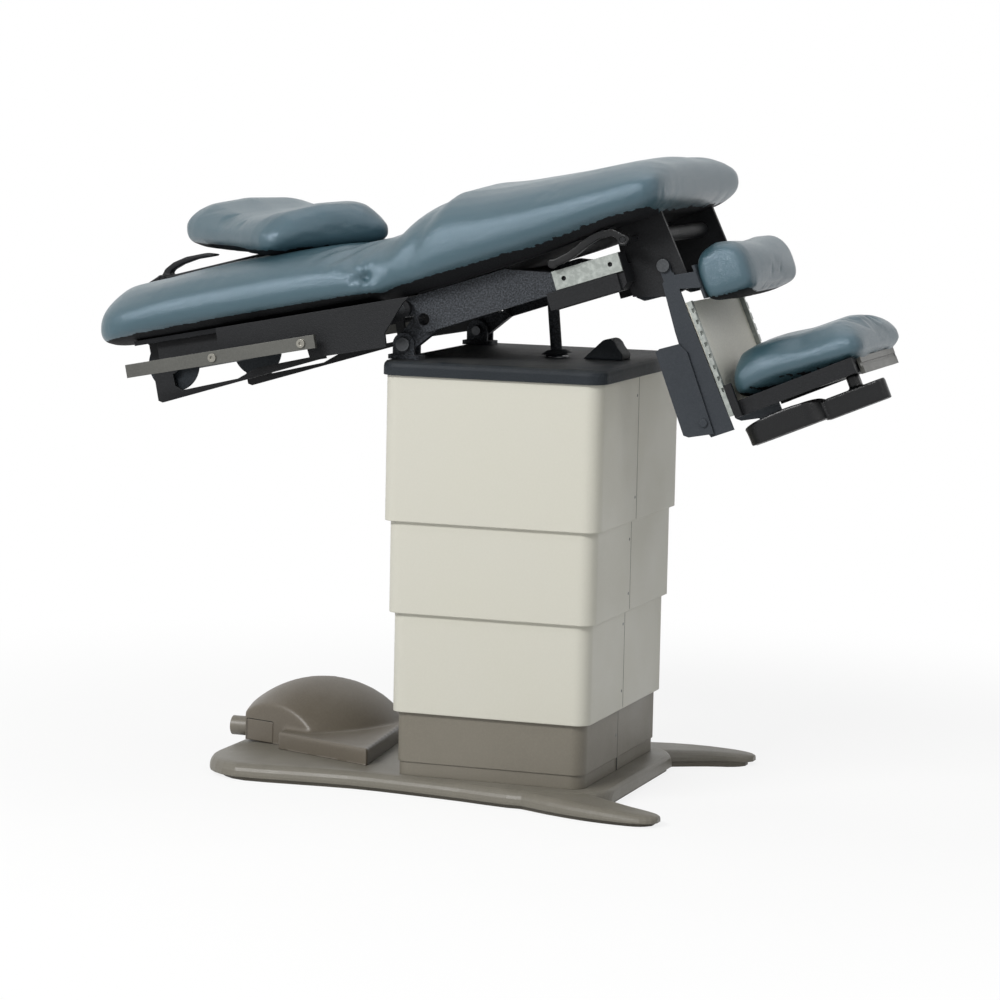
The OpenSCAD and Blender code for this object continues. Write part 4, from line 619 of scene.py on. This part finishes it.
def fillUpper(co, low, high):
    # thicker towards the seat and a little taller
    co[:, 0] -= upperPad["thicker"] * (1 - smoothStep(co[:, 0], low[0], high[0]))
    co[:, 2] += upperPad["taller"] * smoothStep(co[:, 2], low[2] + upperPad["tallerFrom"], high[2])
    return co


# node, how far the cloth may move, fill, shaping
pads = {"headPillow": ("head_pillow", 0.005, 0.7, dishPillow), "upperPad": ("upper_pad", 0.004, 0.8, fillUpper),
        "kneePad": ("knee_pad", 0.005, 0.8, fillKnee)}
padMesh = {"voxel": 0.005, "smoothing": 5}


def makePad(name, node, cap, fill, shape):
    piece = joinedCopy(name, [node])
    remeshed(piece, padMesh["voxel"], padMesh["smoothing"])
    inflated(piece, cap)
    co = perPoint(piece.data, "co")
    movePoints(piece, shape(co, co.min(0), co.max(0)))
    smoothShade(piece)
    piece.data.materials.append(mats["vinylBlue"])
    boardUnderside(piece)
    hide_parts(node)
    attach(piece, bodyOf[node])


makeUpholstery()
for name, values in pads.items():
    makePad(name, *values)
print("upholstery made")

# node: name, voxel, rounds of smoothing, finish
moulded = {"hand_levers": ("handLevers", 0.0022, 5, "gripBlack"), "cap_hood": ("capHood", 0.002, 8, "capBlack"),
           "headrest_arm": ("headrestArm", 0.002, 4, "mechanismBlack"),
           "stirrup_near": ("nearStirrup", 0.0022, 5, "gripBlack"),
           "stirrup_far": ("farStirrup", 0.0022, 5, "gripBlack")}
heelLoop = {"slope": 0.305, "underside": 0.006, "length": 0.150, "endFrom": 0.012, "endTo": 0.004,
            "low": 0.028, "wall": 0.04, "crown": 1.15}


def shapeHeelLoop(piece, node):
    # the loop's walls rise in an arc from its flat underside
    co = perPoint(piece.data, "co")
    low = np.array(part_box(node)[0])
    line = low[2] + heelLoop["underside"] + heelLoop["slope"] * (co[:, 0] - low[0])
    loopEnd = low[0] + heelLoop["length"]
    u = np.clip((co[:, 0] - (low[0] + loopEnd) / 2) / ((loopEnd - low[0]) / 2), -1, 1)
    inside = 1 - smoothStep(co[:, 0], loopEnd - heelLoop["endFrom"], loopEnd + heelLoop["endTo"])
    above = co[:, 2] - line
    lowest = heelLoop["low"] / heelLoop["wall"]
    arch = lowest + (heelLoop["crown"] - lowest) * np.sqrt(np.clip(1 - u * u, 0, 1))
    co[:, 2] = np.where(above > 0, line + above * (1 + inside * (arch - 1)), co[:, 2])
    movePoints(piece, co)


def makeMoulded(node, name, voxel, smoothing, finish):
    piece = joinedCopy(name, [node])
    remeshed(piece, voxel, smoothing)
    if node.startswith("stirrup"):
        shapeHeelLoop(piece, node)
    smoothShade(piece)
    piece.data.materials.append(mats[finish])
    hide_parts(node)
    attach(piece, bodyOf[node])


for node, values in moulded.items():
    makeMoulded(node, *values)
print("moulded pieces made")

# a domed hump cut by turned side faces, with a flat deck towards the column
pumpCover = {"hump": (-0.459, 0.092), "reach": (0.188, 0.238), "height": 0.215, "foot": -0.060, "lean": 0.171,
             "gridX": (-0.62, -0.21), "gridY": (-0.22, 0.2201), "grid": 0.006, "skirt": 0.012,
             "centre": (-0.396, 0.0), "humpSide": (0.080, 18), "deckSide": (0.116, 22), "head": -0.580,
             "footEnd": -0.252, "solidFrom": 0.004, "wedgeTop": 0.30, "deckHead": -0.482,
             "deckFoot": ((-0.262, -0.180), (-0.292, 0.067)), "deckFarY": 0.170, "deckTop": 0.067,
             "base": 0.0345, "voxel": 0.003, "rounding": 16, "flatCorners": 12}


def openEdges(bm):
    return [edge for edge in bm.edges if edge.is_boundary]


def closedBand(bm, rings):
    # side faces between rings of points, with a lid on the first and the last
    n = len(rings[0])
    for lower, upper in zip(rings, rings[1:]):
        for i in range(n):
            j = (i + 1) % n
            bm.faces.new((lower[i], lower[j], upper[j], upper[i]))
    bm.faces.new(rings[0][::-1])
    bm.faces.new(rings[-1])


def prism(name, outline, low, high):
    bm = bmesh.new()
    closedBand(bm, [[bm.verts.new((x, y, z)) for x, y in outline] for z in (low, high)])
    bmesh.ops.recalc_face_normals(bm, faces=bm.faces)
    return makeObject(name, bm)


def sideLine(side, turn, hand, x):
    # y of a turned side face of the cover at x
    cx, cy = pumpCover["centre"]
    t = math.radians(turn)
    return cy + hand * (side / math.cos(t) + (x - cx) * math.tan(t))


def humpSolid():
    c = pumpCover
    xs, ys = np.arange(*c["gridX"], c["grid"]), np.arange(*c["gridY"], c["grid"])
    x, y = np.meshgrid(xs, ys)
    (cx, cy), (a, b) = c["hump"], c["reach"]
    q = 1 - ((x - cx - c["lean"] * (y - cy)) / a) ** 2 - ((y - cy) / b) ** 2
    z = c["foot"] + c["height"] * np.where(q > 0, np.sqrt(np.maximum(q, 0)), 2 * q)
    z = np.maximum(z, c["base"] - c["skirt"])
    bm = bmesh.new()
    top = [[bm.verts.new((x[j, i], y[j, i], z[j, i])) for i in range(len(xs))] for j in range(len(ys))]
    for j in range(len(ys) - 1):
        for i in range(len(xs) - 1):
            bm.faces.new((top[j][i], top[j][i + 1], top[j + 1][i + 1], top[j + 1][i]))
    rim = bmesh.ops.extrude_edge_only(bm, edges=openEdges(bm))
    for v in rim["geom"]:
        if isinstance(v, bmesh.types.BMVert):
            v.co.z = 0
    bmesh.ops.holes_fill(bm, edges=openEdges(bm), sides=0)
    bmesh.ops.recalc_face_normals(bm, faces=bm.faces)
    return makeObject("hump", bm)


def cutAbove(piece, z):
    # keeps what is above z, with a flat underside
    bm = bmesh.new()
    bm.from_mesh(piece.data)
    bmesh.ops.bisect_plane(bm, geom=bm.verts[:] + bm.edges[:] + bm.faces[:], plane_co=(0, 0, z),
                           plane_no=(0, 0, 1), clear_inner=True)
    bmesh.ops.holes_fill(bm, edges=openEdges(bm), sides=0)
    bmesh.ops.recalc_face_normals(bm, faces=bm.faces)
    bm.to_mesh(piece.data)
    bm.free()
    corners = [len(face.vertices) for face in piece.data.polygons]
    piece.data.polygons.foreach_set("use_smooth", [count < pumpCover["flatCorners"] for count in corners])


def makePumpCover():
    c = pumpCover
    head, foot, humpSide, deckSide = c["head"], c["footEnd"], c["humpSide"], c["deckSide"]
    hump = humpSolid()
    wedge = prism("wedge", [(head, sideLine(*humpSide, -1, head)), (foot, sideLine(*humpSide, -1, foot)),
                            (foot, sideLine(*deckSide, 1, foot)), (head, sideLine(*humpSide, 1, head))],
                  c["solidFrom"], c["wedgeTop"])
    both = hump.modifiers.new("wedge", "BOOLEAN")
    both.operation = "INTERSECT"
    both.object = wedge
    applied(hump)
    deckHead, (near, far) = c["deckHead"], c["deckFoot"]
    farX = near[0] + (far[0] - near[0]) * (c["deckFarY"] - near[1]) / (far[1] - near[1])
    deck = prism("deck", [(deckHead, sideLine(*deckSide, -1, deckHead)), (near[0], sideLine(*deckSide, -1, near[0])),
                          (farX, sideLine(*deckSide, 1, farX)), (deckHead, sideLine(*deckSide, 1, deckHead))],
                 c["solidFrom"], c["deckTop"])
    bm = bmesh.new()
    for part in (hump, deck):
        bm.from_mesh(part.data)
    for part in (hump, deck, wedge):
        dropObject(part)
    piece = makeObject("pumpCover", bm)
    remeshed(piece, c["voxel"], c["rounding"])
    cutAbove(piece, c["base"])
    piece.data.materials.clear()
    piece.data.materials.append(mats["pumpTaupe"])
    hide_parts("pump_cover")
    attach(piece, "base")


def onPlane(origin, right, up):
    # matrix of a face: its X, Y and outward normal
    right, up = Vector(right).normalized(), Vector(up).normalized()
    out = right.cross(up)
    m = Matrix((right, up, out)).transposed().to_4x4()
    m.translation = origin
    return m


plateEdge = {"share": 0.25, "most": 0.0012}


def platePart(bm, face, x, y, w, h, low, high, corner=0.0, around=4):
    # rounded plate on a face, centred at x, y, with a softened outer edge
    outline = []
    corner = min(corner, w / 2, h / 2)
    for k, (sx, sy) in enumerate(((1, 1), (-1, 1), (-1, -1), (1, -1))):
        steps = around + 1 if corner else 1
        for i in range(steps):
            a = math.radians(90 * k + (90 * i / around if corner else 0))
            outline.append((x + sx * (w / 2 - corner) + corner * math.cos(a),
                            y + sy * (h / 2 - corner) + corner * math.sin(a)))
    soft = min(plateEdge["share"] * (high - low), plateEdge["most"])
    rings = []
    for z, inset in ((low, 0.0), (high - soft, 0.0), (high, soft)):
        ring = []
        for px, py in outline:
            ix = px - math.copysign(min(inset, abs(px - x)), px - x)
            iy = py - math.copysign(min(inset, abs(py - y)), py - y)
            ring.append(bm.verts.new(face @ Vector((ix, iy, z))))
        rings.append(ring)
    closedBand(bm, rings)


def finishPart(name, bm, finish, body, replaced=()):
    bmesh.ops.recalc_face_normals(bm, faces=bm.faces)
    piece = makeObject(name, bm, mats[finish])
    if replaced:
        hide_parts(*replaced)
    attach(piece, body)
    return piece


# on the near side face of the hump, measured along it from the cover's centre
# the door stands proud on a black plate; the plate's border is the door's gap plus a painted shadow of a recess, wider
# at the left and top
pumpDoor = {"from": -0.163, "to": -0.093, "high": 0.044, "gap": 0.0016, "sunk": -0.004, "gapProud": 0.0004,
            "gapCorner": 0.003, "proud": 0.0016, "corner": 0.002}


def makePumpDoor():
    d = pumpDoor
    side, turn = pumpCover["humpSide"]
    t = math.radians(turn)
    along, out = Vector((math.cos(t), -math.sin(t), 0)), Vector((-math.sin(t), -math.cos(t), 0))
    face = onPlane(Vector((*pumpCover["centre"], pumpCover["base"])) + out * side, along, (0, 0, 1))
    w, h, x, gap = d["to"] - d["from"], d["high"], (d["to"] + d["from"]) / 2, d["gap"]
    bm = bmesh.new()
    # black plate behind the door: a real gap with painted shadow, its border wider at the left and top
    platePart(bm, face, x, h / 2, w, h, d["sunk"], d["gapProud"], d["gapCorner"])
    finishPart("pumpDoorGapAndShadow", bm, "boardBlack", "base")
    bm = bmesh.new()
    platePart(bm, face, x + gap / 2, (h - gap) / 2, w - 2 * gap, h - 1.5 * gap, d["sunk"], d["proud"], d["corner"])
    finishPart("pumpDoor", bm, "pumpTaupe", "base", ["pump_door"])


# a motor lying on its tank, under the hump
pumpUnit = {"x": -0.411, "tankY": 0.015, "tankSize": (0.062, 0.078), "tankHigh": 0.030, "tankCorner": 0.008,
            "motorY": 0.054, "motorZ": 0.068, "motorAcross": 0.046, "motorLong": 0.070,
            "endAcross": 0.030, "endFrom": 0.068, "endTo": 0.078, "around": 8}


def makePumpUnit():
    u = pumpUnit
    base = Matrix.Translation((0, 0, pumpCover["base"]))
    bm = bmesh.new()
    platePart(bm, base, u["x"], u["tankY"], *u["tankSize"], 0.0, u["tankHigh"], u["tankCorner"])
    axis = onPlane((u["x"], u["motorY"], u["motorZ"]), (1, 0, 0), (0, 0, 1))
    for across, low, high in ((u["motorAcross"], 0.0, u["motorLong"]), (u["endAcross"], u["endFrom"], u["endTo"])):
        platePart(bm, axis, 0, 0, across, across, low, high, across / 2, u["around"])
    finishPart("pumpUnit", bm, "motorGrey", "base", ["pump_unit"])


makePumpCover()
makePumpDoor()
makePumpUnit()
print("pump cover made")

# dark joint lines and flush screws of the column covers: slot, x of the right face, the line's ends, screw heights
columnJoints = {"base": ("cover_base", 0.1860, 0.036, 0.153, (0.104,)),
                "lower_stage": ("cover_cream", 0.1946, 0.157, 0.341, (0.190, 0.318)),
                "middle_stage": ("cover_cream", 0.2032, 0.346, 0.514, (0.377, 0.480)),
                "carriage": ("cover_cream", 0.2118, 0.519, 0.786, (0.560, 0.752))}
jointLine = {"y": -0.0205, "width": 0.0018, "sunk": -0.001, "proud": 0.00012}
coverScrew = {"y": -0.030, "radius": 0.0032, "sunk": -0.001, "proud": 0.00014,
              "socket": 1.1, "socketCorner": 0.4, "socketSunk": -0.0005, "socketProud": 0.00018}


def makeColumnJoints(body, slot, x, low, high, screws):
    line, screw = jointLine, coverScrew
    for hand, name in ((1, "right"), (-1, "left")):
        face = onPlane((hand * x, 0, 0), (0, hand, 0), (0, 0, 1))
        bm = bmesh.new()
        platePart(bm, face, hand * line["y"], (low + high) / 2, line["width"], high - low, line["sunk"], line["proud"])
        finishPart(f"jointLine.{body}.{name}", bm, "mechanismBlack", body)
        bm = bmesh.new()
        y, radius = hand * screw["y"], screw["radius"]
        for z in screws:
            platePart(bm, face, y, z, 2 * radius, 2 * radius, screw["sunk"], screw["proud"], radius)
            across = screw["socket"] * radius
            platePart(bm, face, y, z, across, across, screw["socketSunk"], screw["socketProud"],
                      screw["socketCorner"] * radius)
        finishPart(f"coverScrews.{body}.{name}", bm, "darkSteel", body)


for body, values in columnJoints.items():
    makeColumnJoints(body, *values)

# guide plates that the foot section's side plates slide in, outline in x and z
guidePlate = {"outline": ((0.290, 0.846), (0.297, 0.853), (0.334, 0.864), (0.350, 0.850), (0.405, 0.703),
                          (0.357, 0.694), (0.347, 0.697)), "inner": 0.1763, "outer": 0.1813,
              "screw": (0.385, 0.722), "screwR": 0.008, "screwSunk": -0.0002, "screwHigh": 0.004, "edge": 0.0012}


def makeGuidePlates():
    g = guidePlate
    bm = bmesh.new()
    for hand in (-1, 1):
        closedBand(bm, [[bm.verts.new((x, hand * g[face], z)) for x, z in g["outline"]] for face in ("inner", "outer")])
        face = onPlane((0, hand * g["outer"], 0), (-hand, 0, 0), (0, 0, 1))
        x, z = g["screw"]
        platePart(bm, face, -hand * x, z, 2 * g["screwR"], 2 * g["screwR"], g["screwSunk"], g["screwHigh"], g["screwR"])
    piece = finishPart("footGuides", bm, "footGrey", "foot_section", ["foot_guides"])
    soft = piece.modifiers.new("edges", "BEVEL")
    soft.width = g["edge"]
    soft.segments = 2
    applied(piece)


makeGuidePlates()
print("small parts made")

studio = {"floor": (240, 240, 238), "floorDarker": 4, "floorMottle": 1.5, "floorRough": 0.8, "floorHalf": 14,
          "floorCells": 24, "clearFrom": 0.9, "clearTo": 2.2, "clearNear": 0.84,
          "sky": (0.96, 0.98, 1.0, 1), "skyStrength": 0.27, "white": (1, 1, 1, 1)}
# place, aim, size and power of each light
lights = {"keyLight": ((-1.9, -4.6, 3.7), (-0.1, 0, 0.75), (3.0, 0.9), 285),
          "fillLight": ((3.4, -1.8, 3.6), (0.1, 0, 0.8), (1.8, 1.8), 26),
          "topLight": ((0.2, 0.8, 4.6), (0, 0, 0.8), (3.0, 2.0), 34)}


def areaLight(name, at, aim, size, power):
    light = bpy.data.lights.new(name, "AREA")
    light.shape = "RECTANGLE"
    light.size, light.size_y = size
    light.energy = power
    lamp = bpy.data.objects.new(name, light)
    bpy.context.collection.objects.link(lamp)
    lamp.location = at
    lamp.rotation_euler = (Vector(aim) - Vector(at)).to_track_quat("-Z", "Y").to_euler()


def seenDirectly(tree):
    path = put(tree, "ShaderNodeLightPath")
    seen = mathNode(tree, "MAXIMUM", path.outputs["Is Camera Ray"], path.outputs["Is Glossy Ray"])
    return mathNode(tree, "MAXIMUM", seen, path.outputs["Is Transmission Ray"])


def mixShaders(tree, factor, first, second, output):
    mix = put(tree, "ShaderNodeMixShader")
    for i, value in enumerate((factor, first.outputs[0], second.outputs[0])):
        tree.links.new(value, mix.inputs[i])
    tree.links.new(mix.outputs[0], put(tree, output).inputs[0])


def floorMaterial():
    mat, tree = emptyMaterial("floorPale")
    shader = put(tree, "ShaderNodeBsdfPrincipled", in_Roughness=studio["floorRough"])
    mottle = place(tree, "mottle", Scale=studio["floorMottle"])
    darker = [value - studio["floorDarker"] for value in studio["floor"]]
    tree.links.new(mixColor(tree, mottle.outputs["Fac"], linear(*studio["floor"]), linear(*darker)),
                   shader.inputs["Base Color"])
    white = put(tree, "ShaderNodeEmission", in_Color=studio["white"], in_Strength=1.0)
    # the shadow under the table fades into plain white away from it
    spot = put(tree, "ShaderNodeTexCoord")
    away = put(tree, "ShaderNodeVectorMath", operation="LENGTH")
    tree.links.new(spot.outputs["Object"], away.inputs[0])
    fade = put(tree, "ShaderNodeMapRange", interpolation_type="SMOOTHSTEP",
               in_1=studio["clearFrom"], in_2=studio["clearTo"], in_3=studio["clearNear"], in_4=1.0)
    tree.links.new(away.outputs["Value"], fade.inputs[0])
    share = mathNode(tree, "MULTIPLY", seenDirectly(tree), fade.outputs[0])
    mixShaders(tree, share, shader, white, "ShaderNodeOutputMaterial")
    return mat


def buildStage():
    bm = bmesh.new()
    bmesh.ops.create_grid(bm, x_segments=studio["floorCells"], y_segments=studio["floorCells"],
                          size=studio["floorHalf"])
    makeObject("floor", bm, floorMaterial())
    world = bpy.data.worlds.new("studio")
    bpy.context.scene.world = world
    world.use_nodes = True
    tree = world.node_tree
    tree.nodes.clear()
    light = put(tree, "ShaderNodeBackground", in_Color=studio["sky"], in_Strength=studio["skyStrength"])
    plain = put(tree, "ShaderNodeBackground", in_Color=studio["white"], in_Strength=1.0)
    mixShaders(tree, seenDirectly(tree), light, plain, "ShaderNodeOutputWorld")
    for name, values in lights.items():
        areaLight(name, *values)


buildStage()
print("stage built")
